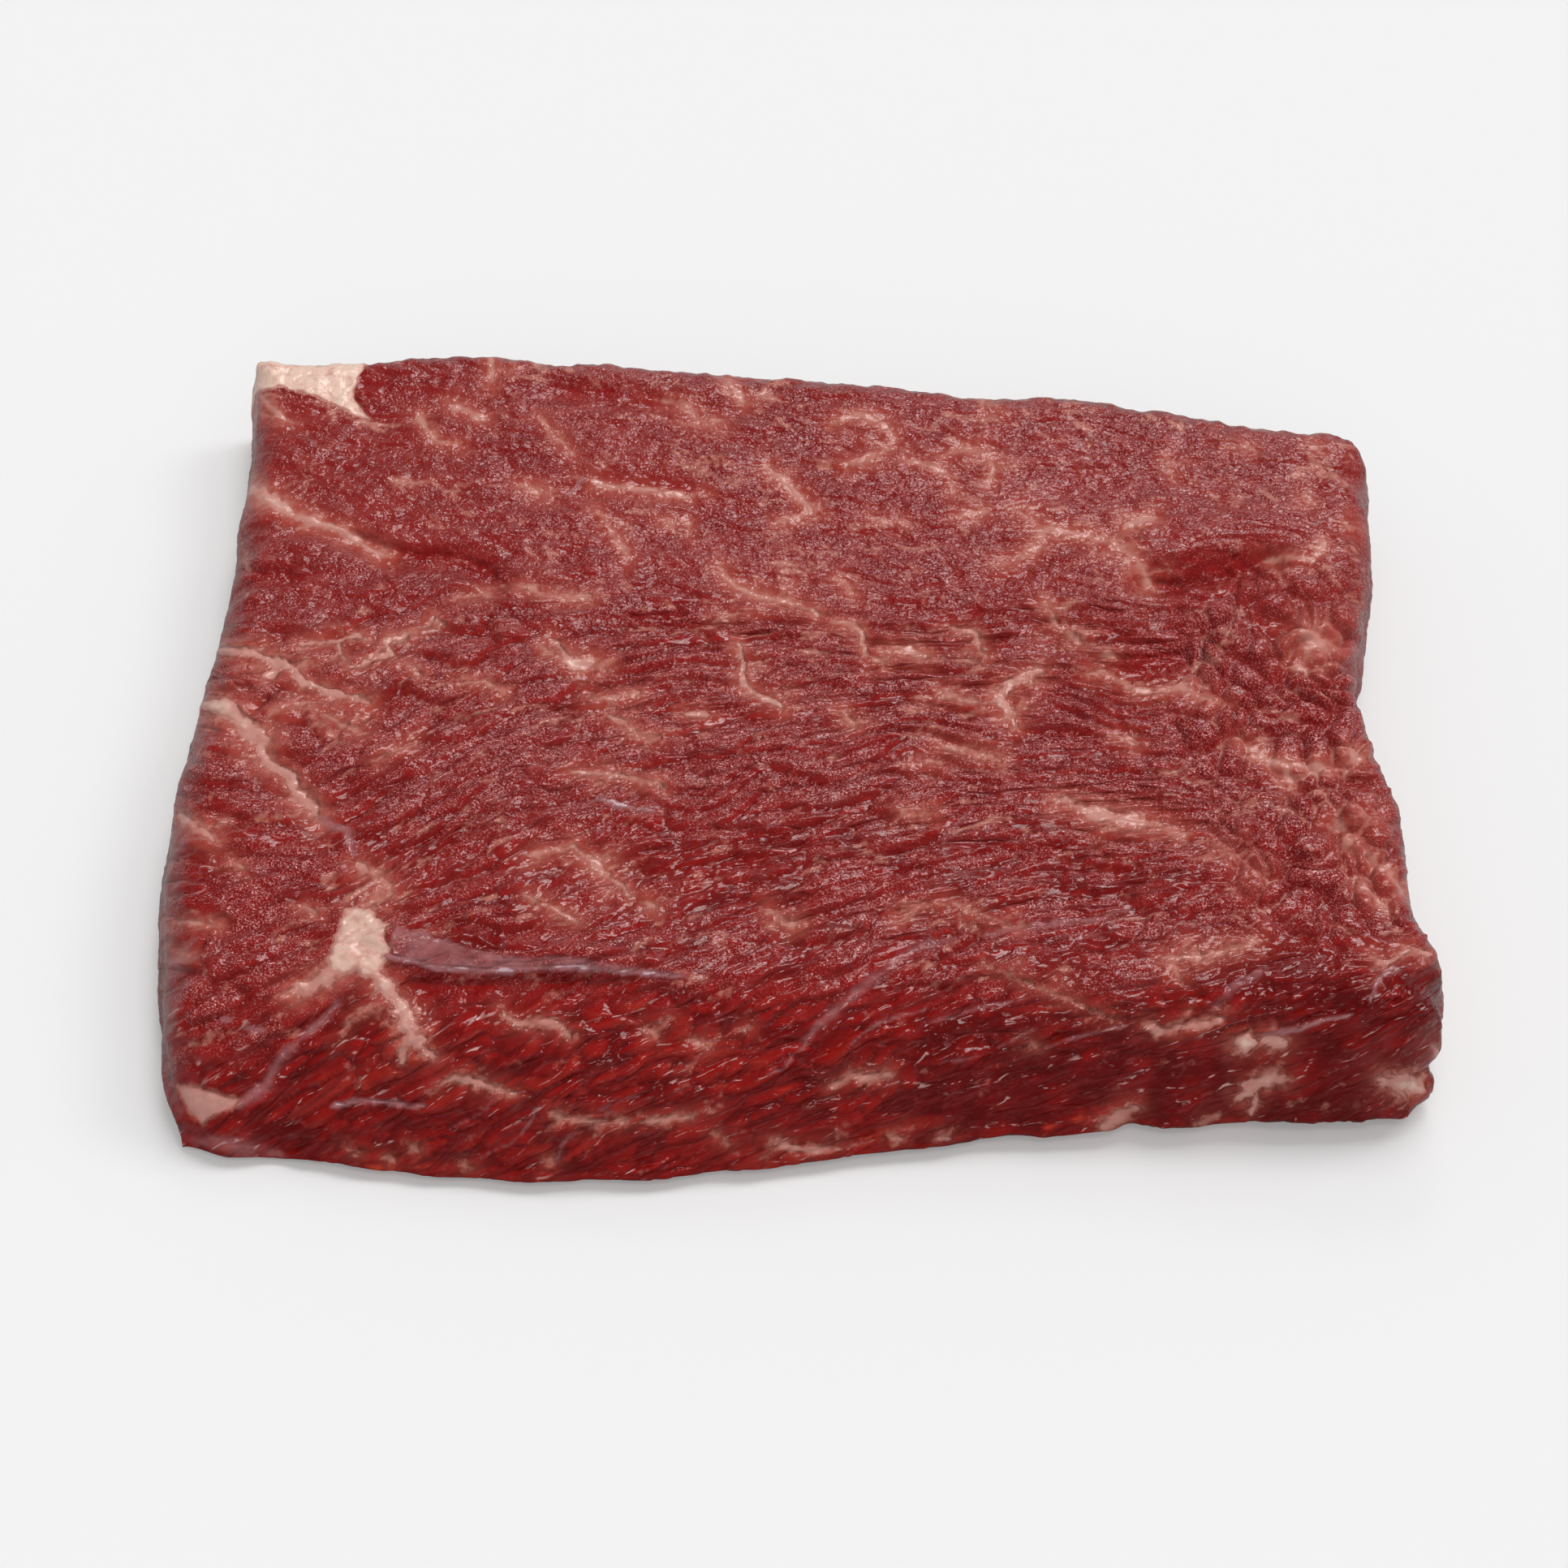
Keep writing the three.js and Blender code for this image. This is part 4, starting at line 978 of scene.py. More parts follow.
cobble = (0.6 * pillow + 0.5 * dome) * (0.7 + 0.5 * net_own)

# Furrows in millimetres, with the grain along x, on the hidden sides and the underside, and bundles at the
# two ends
swirl = 1.5 * octaves(sx / 22, (sy + sz) / 18, 201)
broad = furrows(sx, sy + 2.1 * sz + swirl, 13.0, 2.6, 211)
narrow = furrows(sx + 1.5 * sz, sy + 2.1 * sz + swirl, 5.0, 1.2, 231)
ends = smooth((np.abs(N[:, 0]) - 0.55) / 0.3)
broad = broad * (1 - ends) + bundles(sy, sz, 3.4, 2.6, 251, 0.2)[0] * ends

# Relief of the bundles: the swell of the large and the small ones, their near flanks and their gaps
worn = smooth(octaves(X / 70 + 3, Y / 50 + 6, 91) * 1.2 + 0.6)
large_deep = (0.35 * upper + 1.0 * (1 - upper)) * (1 - net) * (0.4 + 0.6 * worn) * (1 - 0.3 * front)
fine_deep = (0.4 * upper + 0.75 * (1 - upper)) * (1 - 0.5 * net) * (1 - front)
swell = shown * (large_deep * (large - 0.45) * (0.5 + 0.7 * large_own) + net * 1.8 * (cobble - 0.45))
swell += unseen * 0.35 * (broad - 0.6)
small = shown * (0.8 * fine_deep * (fine - 0.45) + front * (0.7 + 1.1 * strand_own) * (strand - 0.45))
small += unseen * 0.4 * (narrow - 0.6)
flank = large_deep * large_flank + 0.35 * fine_deep * fine_flank + 0.6 * net * net_flank
flank = np.clip(shown * flank, 0, 1)
# How near each point is to a gap; through the layer back the material darkens the gaps with painted shade
gap = 0.8 * large_deep * large_gap + 0.6 * fine_deep * fine_gap
gap += 0.5 * net * net_gap + 0.8 * front * strand_gap
gap = np.clip(shown * gap + unseen * (0.5 * (1 - broad) + 0.3 * (1 - narrow)), 0, 1)

# Smooth wet places along the grain of the lower half
pool = smooth((octaves(ALONG / 48 + 2, ACROSS / 15 + 6, 711) + 0.02) / 0.25) * smooth((Y - 930) / 130)
pool *= shown * (1 - front) * (1 - 0.6 * net)

# Faint marbling between the drawn seams, and the marbling of the sides that the photograph doesn't show
smear = smooth((octaves(ALONG / 34 + 3, ACROSS / 9 + 8, 301) - 0.15) / 0.45)
slant = octaves((0.8 * X + 0.6 * Y) / 30, (0.8 * Y - 0.6 * X) / 9, 305)
smear = np.maximum(smear, upper * smooth((slant - 0.15) / 0.45))
smear *= smooth((octaves(X / 60 + 4, Y / 40 + 2, 311) + 0.25) / 0.5)
threads = large_gap * smooth((octaves(X / 48 + 9, Y / 34, 321) - 0.05) / 0.3)
winding = octaves((sx + 0.9 * sz) / 12 + 4, (sy + 0.4 * sz + swirl) / 9 + 6, 331)
vein = smooth((0.10 - np.abs(winding)) / 0.09)
vein *= smooth((octaves(sx / 28 + 14, (sy + sz) / 20 + 2, 341) + 0.02) / 0.3)
flake = smooth((octaves((sx + 1.5 * sz) / 5.5, (sy + 2 * sz + swirl) / 1.7, 351) - 0.30) / 0.3)
knit = smooth((octaves(X / 40 + 7, Y / 30, 361) + 0.1) / 0.4)
faint = shown * (0.42 * smear * (1 - 0.5 * front) + 0.2 * threads * (1 - front) + 0.4 * net * net_gap * knit)
faint += unseen * np.maximum(0.6 * vein, 0.4 * flake)
fat = np.maximum(fat, faint * (1 - blood) * (1 - np.clip(silver, 0, 1)))

# Fine relief along the normal: how high or deep each kind of place is, in millimetres
SWELL_HIGH, SMALL_HIGH, MOTTLE_HIGH, CURD_HIGH = 0.92, 0.56, 0.30, 0.55
FAT_HIGH, SILVER_HIGH, LOBE_HIGH = 0.22, 0.40, 1.0
HALO_DEEP, BLOOD_DEEP, GROOVE_DEEP = 0.10, 0.30, 0.75
FURROW_DEEP = (0.22, 0.10)  # of the underside, large and small
FOOT_CALM = 4.5             # below this height the wall loses its relief
firm = np.clip(np.maximum(np.maximum(fat - 0.2, silver), blood), 0, 1)
height = (SWELL_HIGH * swell + SMALL_HIGH * small) * (1 - 0.6 * firm)
height += MOTTLE_HIGH * octaves(sx / 1.7, (sy + sz) / 1.3, 401, 2) * (1 - 0.6 * firm) * (1 - 0.6 * front)
height += FAT_HIGH * np.clip(fat, 0, 1) - HALO_DEEP * halo + SILVER_HIGH * np.clip(silver, 0, 1)
height += LOBE_HIGH * lobe - BLOOD_DEEP * blood - GROOVE_DEEP * groove
height += CURD_HIGH * np.clip(fat - 0.85, 0, 0.2) / 0.2 * octaves(X / 17, Y / 13, 411, 3)
height *= 1 - 0.9 * smooth((FOOT_CALM - sz) / 4)
height *= 0.4 + 0.6 * smooth((np.abs(N[:, 2]) - 0.3) / 0.5)
P = P + N * height[:, None]
P[foot, 2] = FURROW_DEEP[0] * (1 - broad[foot]) + FURROW_DEEP[1] * (1 - narrow[foot])
P[:, 2] = np.maximum(P[:, 2], 0.0)

# Layout of the baked picture, in shares of its side: margin, and low edge and height of the top, of the
# underside and of the two strips of wall
MARGIN = 0.01
TOP_BAND = (0.40, 0.59)
FOOT_BAND = (0.01, 0.17)
STRIPS_LOW, STRIP_HIGH = np.array([0.29, 0.19]), 0.09


def corner_places():
    """Places in the unit square for each face corner: the top, two strips of wall and the underside."""
    low, high = P.min(0)[:2], P.max(0)[:2]
    plan = (P[:, :2] - low) / (high - low)
    wide = 1 - 2 * MARGIN

    def flat_place(v, band):
        return np.stack([MARGIN + wide * plan[v, 0], band[0] + band[1] * plan[v, 1]], -1)

    top_quads = FINE_ACROSS * FINE_DEEP
    wall_quads = wall_rows * len(rim)
    column, row = np.meshgrid(np.arange(len(rim)), np.arange(wall_rows))
    column, row = column.ravel(), row.ravel()
    strip = len(rim) // 2
    u, v = (column % strip) / strip, row / wall_rows
    across = np.stack([u, u, u + 1 / strip, u + 1 / strip], -1)
    down = np.stack([v, v + 1 / wall_rows, v + 1 / wall_rows, v], -1)
    low_edge = STRIPS_LOW[column // strip][:, None]
    top_places = flat_place(quads[:top_quads], TOP_BAND)
    wall_places = np.stack([MARGIN + wide * across, low_edge + STRIP_HIGH * (1 - down)], -1)
    foot_places = flat_place(quads[top_quads + wall_quads:], FOOT_BAND)
    square_places = np.vstack([top_places, wall_places, foot_places])
    return np.concatenate([square_places.reshape(-1, 2), flat_place(tris, FOOT_BAND).reshape(-1, 2)])


def build_mesh(name):
    """The dressed slab as a smooth mesh."""
    mesh = bpy.data.meshes.new(name)
    loops = np.concatenate([quads.ravel(), tris.ravel()]).astype(np.int32)
    starts = np.concatenate([np.arange(len(quads)) * 4, len(quads) * 4 + np.arange(len(tris)) * 3])
    mesh.vertices.add(count)
    mesh.vertices.foreach_set("co", (P * MM).astype(np.float32).ravel())
    mesh.loops.add(len(loops))
    mesh.loops.foreach_set("vertex_index", loops)
    mesh.polygons.add(len(starts))
    mesh.polygons.foreach_set("loop_start", starts.astype(np.int32))
    mesh.update(calc_edges=True)
    mesh.polygons.foreach_set("use_smooth", np.ones(len(starts), bool))
    mesh.uv_layers.new(name="OFBake").uv.foreach_set("vector", corner_places().astype(np.float32).ravel())
    return mesh


mesh = build_mesh("steak_meat")
steak = bpy.data.objects.new("steak_meat", mesh)
bpy.context.scene.collection.objects.link(steak)

# Silver rim of the hidden walls, stronger on the right
RIM_BAND = 3.0  # millimetres over which it fades downward
rim_band = np.zeros(count)
rim_band[wall] = hidden * np.exp(-below / RIM_BAND)
silver = np.maximum(silver, rim_band * (0.18 + 0.4 * blotch) * (1 + 0.6 * smooth((X - 1000) / 300)))

# Frosty haze of the cut surface, and the calmer and wetter places in it
calm, middle = spot(430, 570, 200, 130), spot(760, 1075, 260, 75)
haze = shown * (0.84 * upper + (1 - upper) * (0.85 - 0.8 * front) - 0.1 * net) + unseen * 0.4
haze *= (0.85 + 0.35 * octaves(X / 60 + 8, Y / 44 + 8, 521)) * (1 - 0.9 * flank)
haze *= (1 - 0.75 * np.clip(halo, 0, 1)) * (1 - 0.2 * calm) * (1 - 0.7 * pool)
haze *= (1 - 0.22 * smooth((Y - 960) / 100)) * (1 - 0.45 * middle)
# How much painted glint flecks and painted shade specks the hazy surface takes: more further down and in the
# network, less in front and in the calm place
glint_speckle = 0.7 + 0.25 * net + 0.6 * smooth((Y - 720) / 120) + 0.5 * smooth((Y - 960) / 120)
glint_speckle = shown * glint_speckle * (1 - 0.6 * front) * (1 - 0.7 * calm) + unseen * 0.5
glint_speckle *= 1 - 0.3 * middle

# Smooth dark meat, how far the strands show with their painted shade, and the lean that glows orange: the
# orange of thin meat over fat, with painted light on the strand crests, the raised lobes and the foot of the
# front wall
sleek = np.maximum(shown * front, 0.75 * pool) + unseen * 0.7
weave = np.clip(shown * (0.9 - 0.7 * upper - 0.9 * net), 0, 1) * (1 - 0.85 * smooth(fat / 0.8))
# Strand crests and raised lobes take more orange: painted light
ember = front * (0.4 * strand + 0.45 * strand_own) + 0.3 * lobe + 0.25 * pool + 0.45 * unseen
ember *= 1 - 0.65 * smooth((X - 1050) / 150) * front
# Painted light along the foot of the front wall
ember = np.maximum(ember, 0.8 * shown * front * smooth((5.5 - sz) / 4) * (0.7 + 0.5 * blotch))
paint(ember, EMBERS, edge=2.2)

# Layers that the material reads at each point
layers = {
    "fat": np.clip(fat, 0, 1.5),
    "halo": np.clip(halo, 0, 1) * (1 - 0.6 * front),
    "silver": silver,
    "blood": blood,
    # back: lower near the gaps and grooves, which the material darkens with painted shade
    "back": 1 - np.clip(gap + 0.7 * groove, 0, 1),
    "haze": np.clip(haze, 0, 1),
    "tone": octaves(sx / 26 + 5, (sy + sz) / 20 + 5, 501) * 0.5 + 0.5,
    "sleek": sleek,
    "shown": shown,
    "ember": np.clip(ember, 0, 1.2),
    "glint_speckle": glint_speckle,
    "weave": weave,
}
for name, layer in layers.items():
    mesh.attributes.new(name, "FLOAT", "POINT").data.foreach_set("value", layer.astype(np.float32))
# The places along and across the grain, one unit for so many pixels
for name, along, across in (("flow", 20, 3.6), ("strand", 76, 13)):
    flow = np.column_stack([ALONG / along, ACROSS / across, np.zeros(count)]).astype(np.float32)
    mesh.attributes.new(name, "FLOAT_VECTOR", "POINT").data.foreach_set("vector", flow.ravel())


# Materials
class Nodes:
    """Short ways to add and join shader nodes."""

    def __init__(self, tree):
        self.tree = tree

    def add(self, kind, **values):
        node = self.tree.nodes.new(kind)
        for key, value in values.items():
            setattr(node, key, value)
        return node

    def link(self, a, b):
        self.tree.links.new(a, b)

    def set(self, node, numbers):
        for key, number in numbers.items():
            node.inputs[key].default_value = number

    def value(self, name, output="Fac"):
        return self.add("ShaderNodeAttribute", attribute_name=name).outputs[output]

    def put(self, socket, value):
        if isinstance(value, bpy.types.NodeSocket):
            self.link(value, socket)
        else:
            socket.default_value = value

    def math(self, operation, a, b=0.5, clamp=False):
        node = self.add("ShaderNodeMath", operation=operation, use_clamp=clamp)
        self.put(node.inputs[0], a)
        self.put(node.inputs[1], b)
        return node.outputs[0]

    def times(self, a, b):
        return self.math("MULTIPLY", a, b)

    def plus(self, a, b):
        return self.math("ADD", a, b)

    def minus(self, a, b, clamp=False):
        return self.math("SUBTRACT", a, b, clamp)

    def most(self, a, b):
        return self.math("MAXIMUM", a, b)

    def mix(self, share, a, b):
        node = self.add("ShaderNodeMix", data_type="RGBA")
        self.put(node.inputs["Factor"], share)
        self.put(node.inputs[6], a)
        self.put(node.inputs[7], b)
        return node.outputs[2]

    def blend(self, share, a, b):
        node = self.add("ShaderNodeMix", data_type="FLOAT")
        self.put(node.inputs["Factor"], share)
        self.put(node.inputs[2], a)
        self.put(node.inputs[3], b)
        return node.outputs[0]

    def band(self, value, low, high, to_low=0.0, to_high=1.0):
        node = self.add("ShaderNodeMapRange", interpolation_type="SMOOTHSTEP")
        self.put(node.inputs["Value"], value)
        self.set(node, {"From Min": low, "From Max": high, "To Min": to_low, "To Max": to_high})
        return node.outputs["Result"]

    def noise(self, place, scale, detail=2.0, rough=0.5, distortion=0.0):
        node = self.add("ShaderNodeTexNoise")
        self.link(place, node.inputs["Vector"])
        self.set(node, {"Scale": scale, "Detail": detail, "Roughness": rough, "Distortion": distortion})
        return node.outputs["Fac"]


# Colours of the meat, the fat and the silver skin, and of the painted shade, highlights and sheen laid on
# them
# Painted shade for the gaps, the grooves and the dark specks among the glint flecks
SHADE_RED = (0.150, 0.0040, 0.0040, 1)
LEAN_RED = (0.270, 0.0110, 0.0090, 1)
# Painted shade for the strands' near flanks and the furrows below them
FLANK_SHADE_RED = (0.180, 0.0150, 0.0145, 1)
FUZZ_RED = (0.180, 0.0050, 0.0060, 1)
SLEEK_RED = (0.260, 0.0060, 0.0050, 1)
# Sleek meat from dark to orange: painted shade in the strand valleys and painted light on their crests and
# the lobes, over random tone and the orange of thin meat over fat
DARK_RED = (0.105, 0.0020, 0.0020, 1)
EMBER_RED = (0.330, 0.0170, 0.0100, 1)
GLOWING_RED = (0.520, 0.0420, 0.0200, 1)
DIM_RED = (0.140, 0.0045, 0.0050, 1)
PALE_RED = (0.430, 0.080, 0.066, 1)
# Painted sheen flecks on the hazy surface and painted highlight dashes on the sleek meat
SHEEN_FLECK_PINK = (0.620, 0.240, 0.230, 1)
# Painted highlight on the far edges of the strands
GLINT = (0.800, 0.480, 0.450, 1)
WET_RED = (0.245, 0.0060, 0.0055, 1)
GLOW_RED = (0.470, 0.075, 0.048, 1)
SEAM_PINK = (0.460, 0.155, 0.118, 1)
FAT_PINK = (0.560, 0.255, 0.215, 1)
FAT_CREAM = (0.640, 0.390, 0.320, 1)
FAT_IVORY = (0.780, 0.540, 0.440, 1)
SILVER_MAUVE = (0.370, 0.145, 0.150, 1)
# Painted highlight lines on the silver skin
SILVER_SHINE = (0.560, 0.410, 0.450, 1)

# Noises of the material: scale in cells for each metre, detail, roughness and distortion
SPECK = (1600, 0.6, 0.4, 0.8)
RIPPLE = (700, 0.5, 0.4, 0.5)
PIN = (3900, 0.6)
GRIT = (900, 3.0, 0.6, 0.3)
MOTTLE = (230, 3.0, 0.6, 0.4)
POOL = (120, 2.0, 0.5, 0.5)
UNEVEN = (210, 1.0)
CURD = (520, 2.0, 0.6, 0.6)
# and those that follow the grain, with a scale in cells for each of its units
DASH = (1.0, 0.6, 0.4, 0.4)
BEAD = (1.3, 1.0)
STRAND = (1.0, 0.6, 0.4)
STRAND_STEP = (0.0, 0.28, 0.0)          # across the strands, to feel their slope
UNSEEN_STRETCH = (500, 2300, 2300)      # of the dashes where the photograph doesn't show the grain

BUMP_DEEP = 0.36 * MM
MEAT_GLOSS, FAT_GLOSS = (0.10, 0.13), 0.2
MEAT_NUMBERS = {
    "IOR": 1.36,
    "Subsurface Weight": 0.15,
    "Subsurface Radius": (1.0, 0.22, 0.16),
    "Subsurface Scale": 1.0 * MM,
}


def beef_material():
    """Lean meat, fat and silver skin, mixed by the layers at each point."""
    material = bpy.data.materials.new("beef")
    material.use_nodes = True
    tree = material.node_tree
    tree.nodes.clear()
    n = Nodes(tree)
    out = n.add("ShaderNodeOutputMaterial")
    shader = n.add("ShaderNodeBsdfPrincipled")
    n.link(shader.outputs[0], out.inputs["Surface"])
    place = n.add("ShaderNodeTexCoord").outputs["Object"]
    fat_v, halo_v, silver_v, blood_v, unshaded_by_gaps, haze_v, tone_v, sleek_v, shown_v, ember_v, glint_speckle_v, weave_v = (
        n.value(name) for name in layers)
    flow_at, strand_at = n.value("flow", "Vector"), n.value("strand", "Vector")

    speck, ripple, pin, grit, mottle, pools, spots, curd = (
        n.noise(place, *look) for look in (SPECK, RIPPLE, PIN, GRIT, MOTTLE, POOL, UNEVEN, CURD))
    crinkle = n.band(n.math("ABSOLUTE", n.minus(speck, 0.5)), 0.02, 0.06, 1.0, 0.0)
    stretched = n.add("ShaderNodeMapping")
    n.link(place, stretched.inputs["Vector"])
    stretched.inputs["Scale"].default_value = UNSEEN_STRETCH
    dash = n.blend(shown_v, n.noise(stretched.outputs[0], 1.0, 1.0), n.noise(flow_at, *DASH))

    # Strands along the grain: their slope to the near side, painted glints on far edges, and painted shade on
    # the near flanks and in the gaps below them
    step = n.add("ShaderNodeVectorMath", operation="ADD")
    n.link(strand_at, step.inputs[0])
    step.inputs[1].default_value = STRAND_STEP
    strands = n.noise(strand_at, *STRAND)
    slope = n.minus(n.noise(step.outputs[0], *STRAND), strands)
    edge = n.math("ABSOLUTE", n.minus(strands, 0.5))
    beads = n.times(n.band(n.noise(flow_at, *BEAD), 0.48, 0.57), n.band(pools, 0.42, 0.58, 0.10, 1.0))
    glint_ridge = n.times(n.band(edge, 0.004, 0.027, 1.0, 0.0), n.band(slope, -0.01, 0.05))
    glint_ridge = n.times(n.times(glint_ridge, shown_v), beads)
    shaded_furrow = n.times(n.band(edge, 0.012, 0.075, 1.0, 0.0), n.band(slope, 0.01, -0.05))
    shaded_furrow = n.times(shaded_furrow, weave_v)
    shade = n.times(n.band(slope, -0.02, -0.16), weave_v)
    bare = n.minus(1.0, n.most(n.most(blood_v, silver_v), n.band(fat_v, 0.2, 0.8)), clamp=True)

    # Lean meat: the smooth dark kind and the hazy kind, painted shade on the strands, painted glint flecks
    # and shade specks on it, painted highlight dashes and glints, and the glow round the seams
    uneven = n.plus(n.times(pools, 0.7), n.times(spots, 0.5))
    warm = n.plus(n.times(ember_v, 0.7), n.minus(uneven, 0.6))
    # The sleek meat goes from dark to orange with warm: painted shade and light on the strands and lobes,
    # besides random tone and the orange of thin meat over fat
    sleek = n.mix(n.band(warm, 0.32, -0.02), SLEEK_RED, DARK_RED)
    sleek = n.mix(n.band(warm, 0.30, 0.62, 0.0, 0.9), sleek, EMBER_RED)
    sleek = n.mix(n.band(warm, 0.55, 0.85), sleek, GLOWING_RED)
    lean = n.mix(sleek_v, n.mix(haze_v, LEAN_RED, FUZZ_RED), sleek)
    lean = n.mix(n.band(mottle, 0.47, 0.35, 0.0, 0.35), lean, DIM_RED)
    lean = n.mix(n.times(n.band(tone_v, 0.45, 0.8), n.times(haze_v, 0.14)), lean, PALE_RED)
    lean = n.mix(n.times(n.band(mottle, 0.51, 0.62), n.times(haze_v, 0.32)), lean, PALE_RED)
    painted_speckle = n.times(n.times(haze_v, glint_speckle_v), n.band(shade, 0.0, 0.9, 1.0, 0.25))
    # Painted shade on the near flanks of the strands
    lean = n.mix(n.times(shade, 0.5), lean, FLANK_SHADE_RED)
    # Painted shade specks among the glint flecks
    lean = n.mix(n.times(n.band(pin, 0.44, 0.36, 0.0, 0.55), painted_speckle), lean, SHADE_RED)
    # Painted shade in the furrows below the strands
    lean = n.mix(n.times(shaded_furrow, 0.65), lean, FLANK_SHADE_RED)
    # Painted glint flecks on the hazy surface
    glint_fleck = n.most(n.times(crinkle, 0.4), n.band(pin, 0.575, 0.625, 0.0, 2.8))
    sheen_flecks = n.times(glint_fleck, n.times(painted_speckle, n.band(grit, 0.38, 0.6, 0.12, 0.42)))
    lean = n.mix(sheen_flecks, lean, SHEEN_FLECK_PINK)
    # Painted shade in the gaps between the bundles and in the grooves
    lean = n.mix(n.band(unshaded_by_gaps, 0.0, 0.9, 0.7, 0.0), lean, SHADE_RED)
    # Painted highlight dashes along the grain of the sleek meat
    lean = n.mix(n.times(n.band(dash, 0.62, 0.76, 0.0, 0.06), sleek_v), lean, SHEEN_FLECK_PINK)
    # Painted highlight on the far edges of the strands
    lean = n.mix(n.times(n.times(glint_ridge, 0.7), sleek_v), lean, GLINT)
    lean = n.mix(n.times(halo_v, 0.6), lean, GLOW_RED)
    lean = n.mix(n.times(halo_v, n.band(mottle, 0.35, 0.65, 0.15, 0.65)), lean, SEAM_PINK)
    lean = n.mix(n.times(blood_v, 0.85), lean, WET_RED)

    # Fat and silver skin
    ragged = n.plus(fat_v, n.times(n.minus(grit, 0.5), n.band(fat_v, 0.0, 0.2, 0.0, 1.1)))
    colour = n.mix(n.band(ragged, 0.05, 0.6), lean, SEAM_PINK)
    colour = n.mix(n.band(fat_v, 0.35, 0.85), colour, FAT_PINK)
    colour = n.mix(n.times(n.band(fat_v, 0.8, 1.2), n.band(curd, 0.35, 0.6, 0.15, 1.0)), colour, FAT_CREAM)
    colour = n.mix(n.times(n.band(fat_v, 1.1, 1.45), n.band(curd, 0.3, 0.5, 0.4, 1.0)), colour, FAT_IVORY)
    colour = n.mix(n.band(silver_v, 0.05, 0.8, 0.0, 0.9), colour, SILVER_MAUVE)
    # Painted highlight lines where the silver skin is stronger than about 1
    colour = n.mix(n.band(silver_v, 0.95, 1.2), colour, SILVER_SHINE)
    n.link(colour, shader.inputs["Base Color"])

    gloss = n.band(haze_v, 0.1, 0.9, *MEAT_GLOSS)
    gloss = n.blend(n.band(fat_v, 0.5, 1.0), gloss, FAT_GLOSS)
    n.link(gloss, shader.inputs["Roughness"])
    n.set(shader, MEAT_NUMBERS)

    # Relief too fine for the mesh
    rind = n.plus(speck, n.times(ripple, 0.9))
    wet = n.plus(n.times(dash, 0.7), n.times(glint_ridge, 0.25))
    rind = n.plus(n.times(rind, haze_v), n.times(shaded_furrow, -0.5))
    relief = n.plus(rind, n.times(wet, sleek_v))
    relief = n.plus(relief, n.times(n.times(strands, 4.0), weave_v))
    relief = n.plus(relief, n.times(n.times(curd, n.band(fat_v, 0.6, 1.0)), 1.2))
    bump = n.add("ShaderNodeBump")
    n.set(bump, {"Strength": 1.0, "Distance": BUMP_DEEP})
    n.link(n.times(relief, n.band(bare, 0.0, 1.0, 0.35, 1.0)), bump.inputs["Height"])
    n.link(bump.outputs["Normal"], shader.inputs["Normal"])
    return material


mesh.materials.append(beef_material())
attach(steak, "root")
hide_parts("denver_steak")

# Floor, light and camera
FLOOR_HALF = 4.0
FLOOR_DROP = 0.0001
# Greys of the floor for the camera, for the rest of the light, and for its own glow
FLOOR_SEEN, FLOOR_LIGHT, FLOOR_GLOW = 0.65, 0.70, 0.185
# Greys of the floor in the gloss, before the meat and beside it, and where one fades to the other, in metres
FLOOR_BEFORE, FLOOR_BESIDE = 0.12, 0.42
BESIDE_X, BESIDE_Y = (0.078, 0.095), (0.05, 0.07)
# Greys of the room for the camera and for the rest of the light, and in the gloss from its horizon to its top
ROOM_SEEN, ROOM_LIGHT = 0.87, 0.32
ROOM_LOW, ROOM_HIGH, ROOM_BAND = 0.50, 0.14, (0.10, 0.34)
# Lamps: energy, width in degrees, direction, whether it lights the colours, and whether it shows in the gloss
LAMPS = {
    "softbox": (1.25, 30, (-0.22, -0.64, -0.73), False, True),
    "overhead": (1.20, 26, (-0.18, -0.28, -0.94), True, False),
    "right_key": (0.70, 24, (-0.62, -0.28, -0.73), True, False),
    "front_fill": (0.66, 60, (-0.10, 0.70, -0.70), True, False),
    "back_lamp": (0.20, 14, (-0.06, -0.70, -0.71), True, True),
    "front_lamp": (0.20, 9, (-0.05, 0.42, -0.91), True, True),
}


def grey(value):
    return (value, value, value, 1)


def by_ray(tree, seen, mirrored, other):
    """A colour that differs for the camera's rays, for mirror reflections and for the rest of the light."""
    nodes = Nodes(tree)
    rays = nodes.add("ShaderNodeLightPath")
    unseen_by_camera = nodes.mix(rays.outputs["Is Glossy Ray"], other, mirrored)
    return nodes.mix(rays.outputs["Is Camera Ray"], unseen_by_camera, seen)


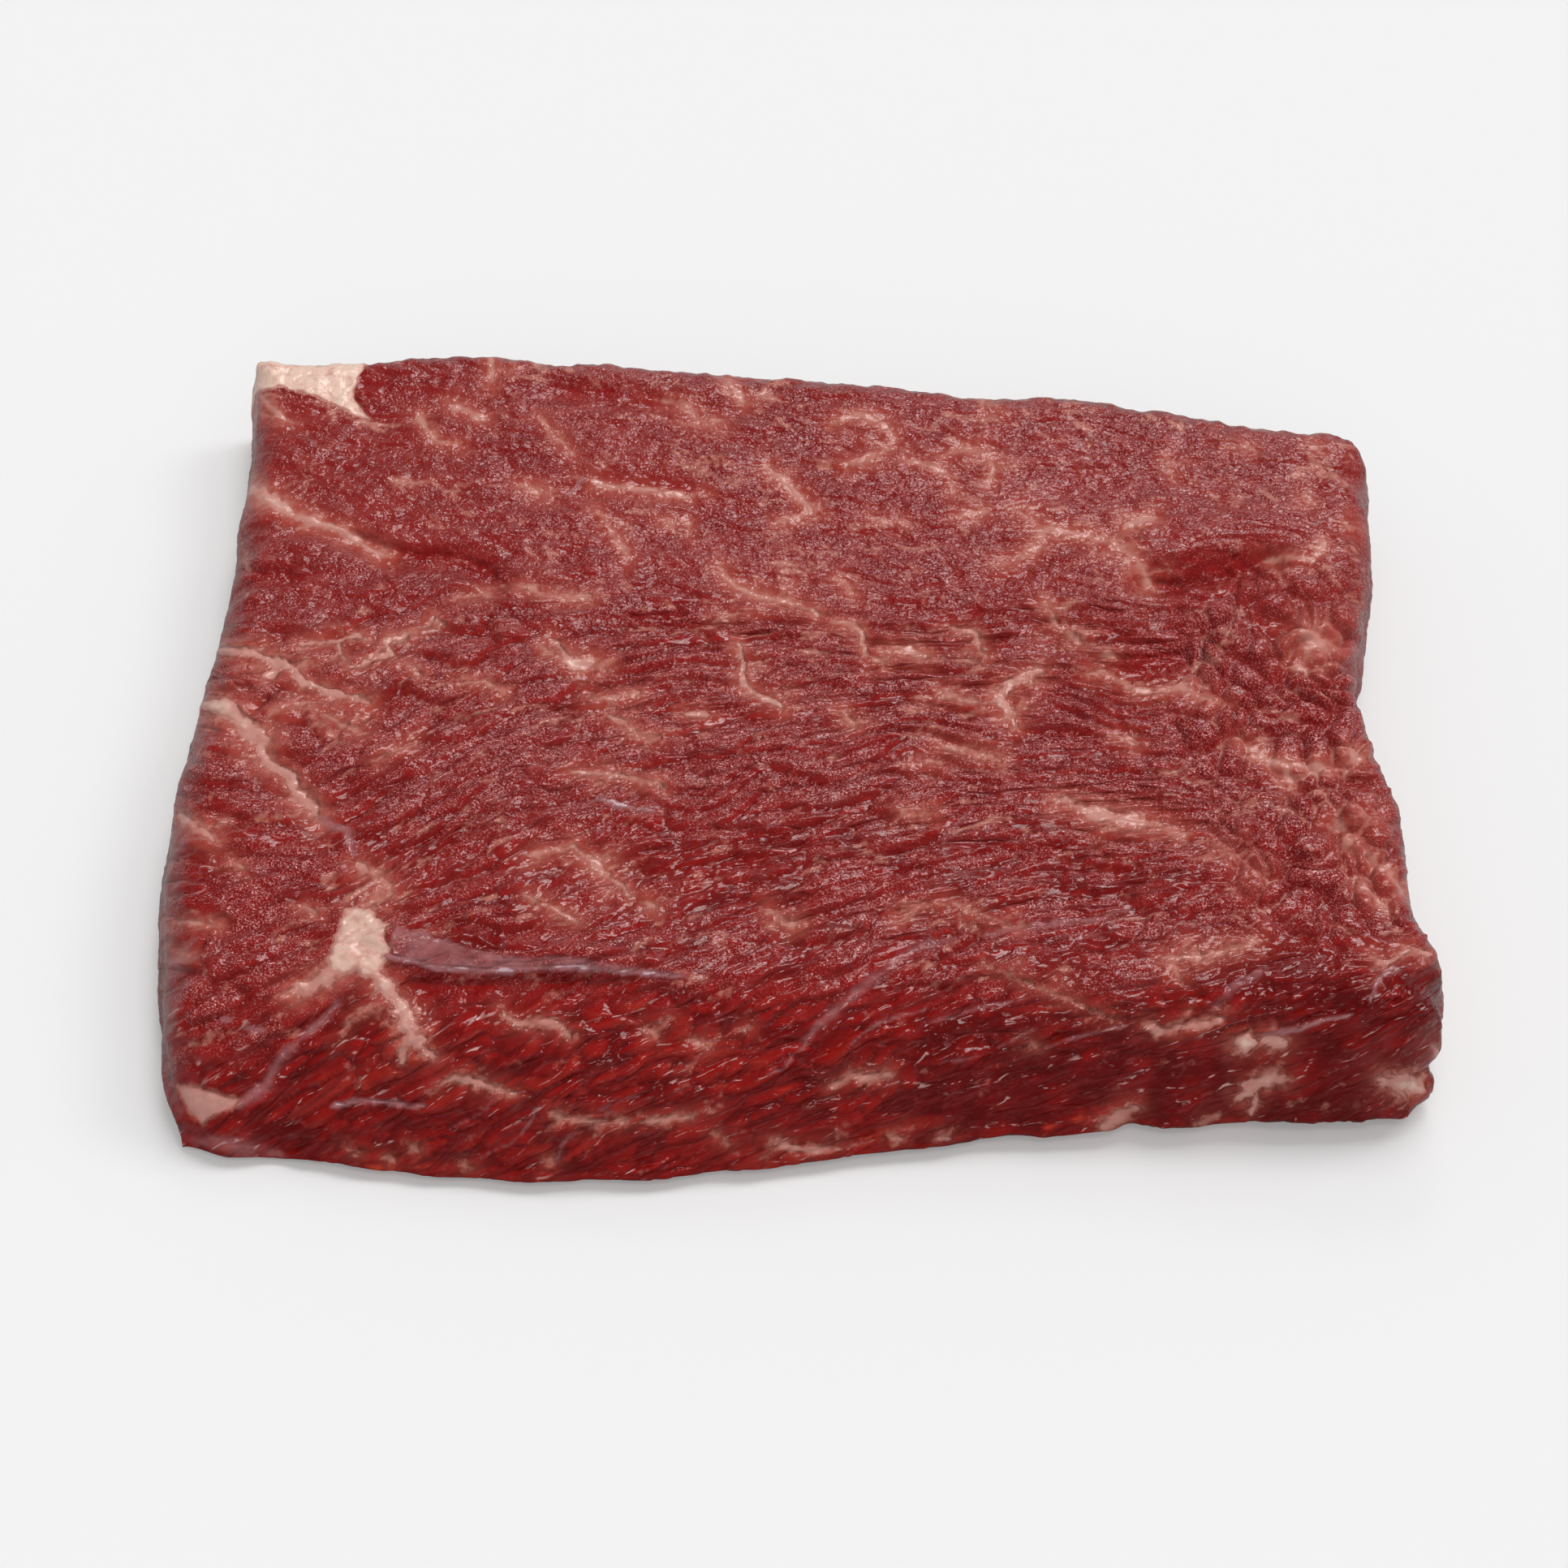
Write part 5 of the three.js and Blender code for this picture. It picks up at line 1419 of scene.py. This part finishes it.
floor_mesh = bpy.data.meshes.new("floor")
corners = [(x * FLOOR_HALF, y * FLOOR_HALF, -FLOOR_DROP) for x, y in ((-1, -1), (1, -1), (1, 1), (-1, 1))]
floor_mesh.from_pydata(corners, [], [(0, 1, 2, 3)])
floor = bpy.data.objects.new("floor", floor_mesh)
bpy.context.scene.collection.objects.link(floor)
paper = bpy.data.materials.new("paper")
paper.use_nodes = True
paper_shader = paper.node_tree.nodes["Principled BSDF"]
n = Nodes(paper.node_tree)
where = n.add("ShaderNodeSeparateXYZ")
n.link(n.add("ShaderNodeTexCoord").outputs["Object"], where.inputs[0])
beside_x = n.band(n.math("ABSOLUTE", where.outputs[0]), *BESIDE_X)
beside = n.most(beside_x, n.band(where.outputs[1], *BESIDE_Y))
mirrored = n.mix(beside, grey(FLOOR_BEFORE), grey(FLOOR_BESIDE))
colour = by_ray(paper.node_tree, grey(FLOOR_SEEN), mirrored, grey(FLOOR_LIGHT))
glow = by_ray(paper.node_tree, grey(FLOOR_GLOW), grey(0), grey(0))
n.link(colour, paper_shader.inputs["Base Color"])
n.link(glow, paper_shader.inputs["Emission Color"])
n.set(paper_shader, {"Emission Strength": 1.0, "Roughness": 0.9})
floor_mesh.materials.append(paper)

scene = bpy.context.scene
scene.view_settings.view_transform = "Standard"
world = bpy.data.worlds.new("studio")
scene.world = world
world.use_nodes = True
background = world.node_tree.nodes["Background"]
n = Nodes(world.node_tree)
height_of = n.add("ShaderNodeSeparateXYZ")
n.link(n.add("ShaderNodeTexCoord").outputs["Generated"], height_of.inputs[0])
mirrored = n.mix(n.band(height_of.outputs[2], *ROOM_BAND), grey(ROOM_LOW), grey(ROOM_HIGH))
room = by_ray(world.node_tree, grey(ROOM_SEEN), mirrored, grey(ROOM_LIGHT))
n.link(room, background.inputs["Color"])

for name, (energy, angle, toward, on_colours, in_gloss) in LAMPS.items():
    light = bpy.data.lights.new(name, "SUN")
    light.energy = energy
    light.angle = np.radians(angle)
    lamp = bpy.data.objects.new(name, light)
    lamp.rotation_euler = Vector(toward).to_track_quat("-Z", "Y").to_euler()
    lamp.visible_diffuse = on_colours
    lamp.visible_glossy = in_gloss
    scene.collection.objects.link(lamp)

camera = bpy.data.cameras.new("camera")
camera.lens = LENS
camera.sensor_width = SENSOR
camera.clip_start, camera.clip_end = 0.01, 50
eye_object = bpy.data.objects.new("camera", camera)
eye_object.location = [float(v) * MM for v in eye]
eye_object.rotation_euler = Vector([float(-v) for v in eye_dir]).to_track_quat("-Z", "Y").to_euler()
scene.collection.objects.link(eye_object)
scene.camera = eye_object
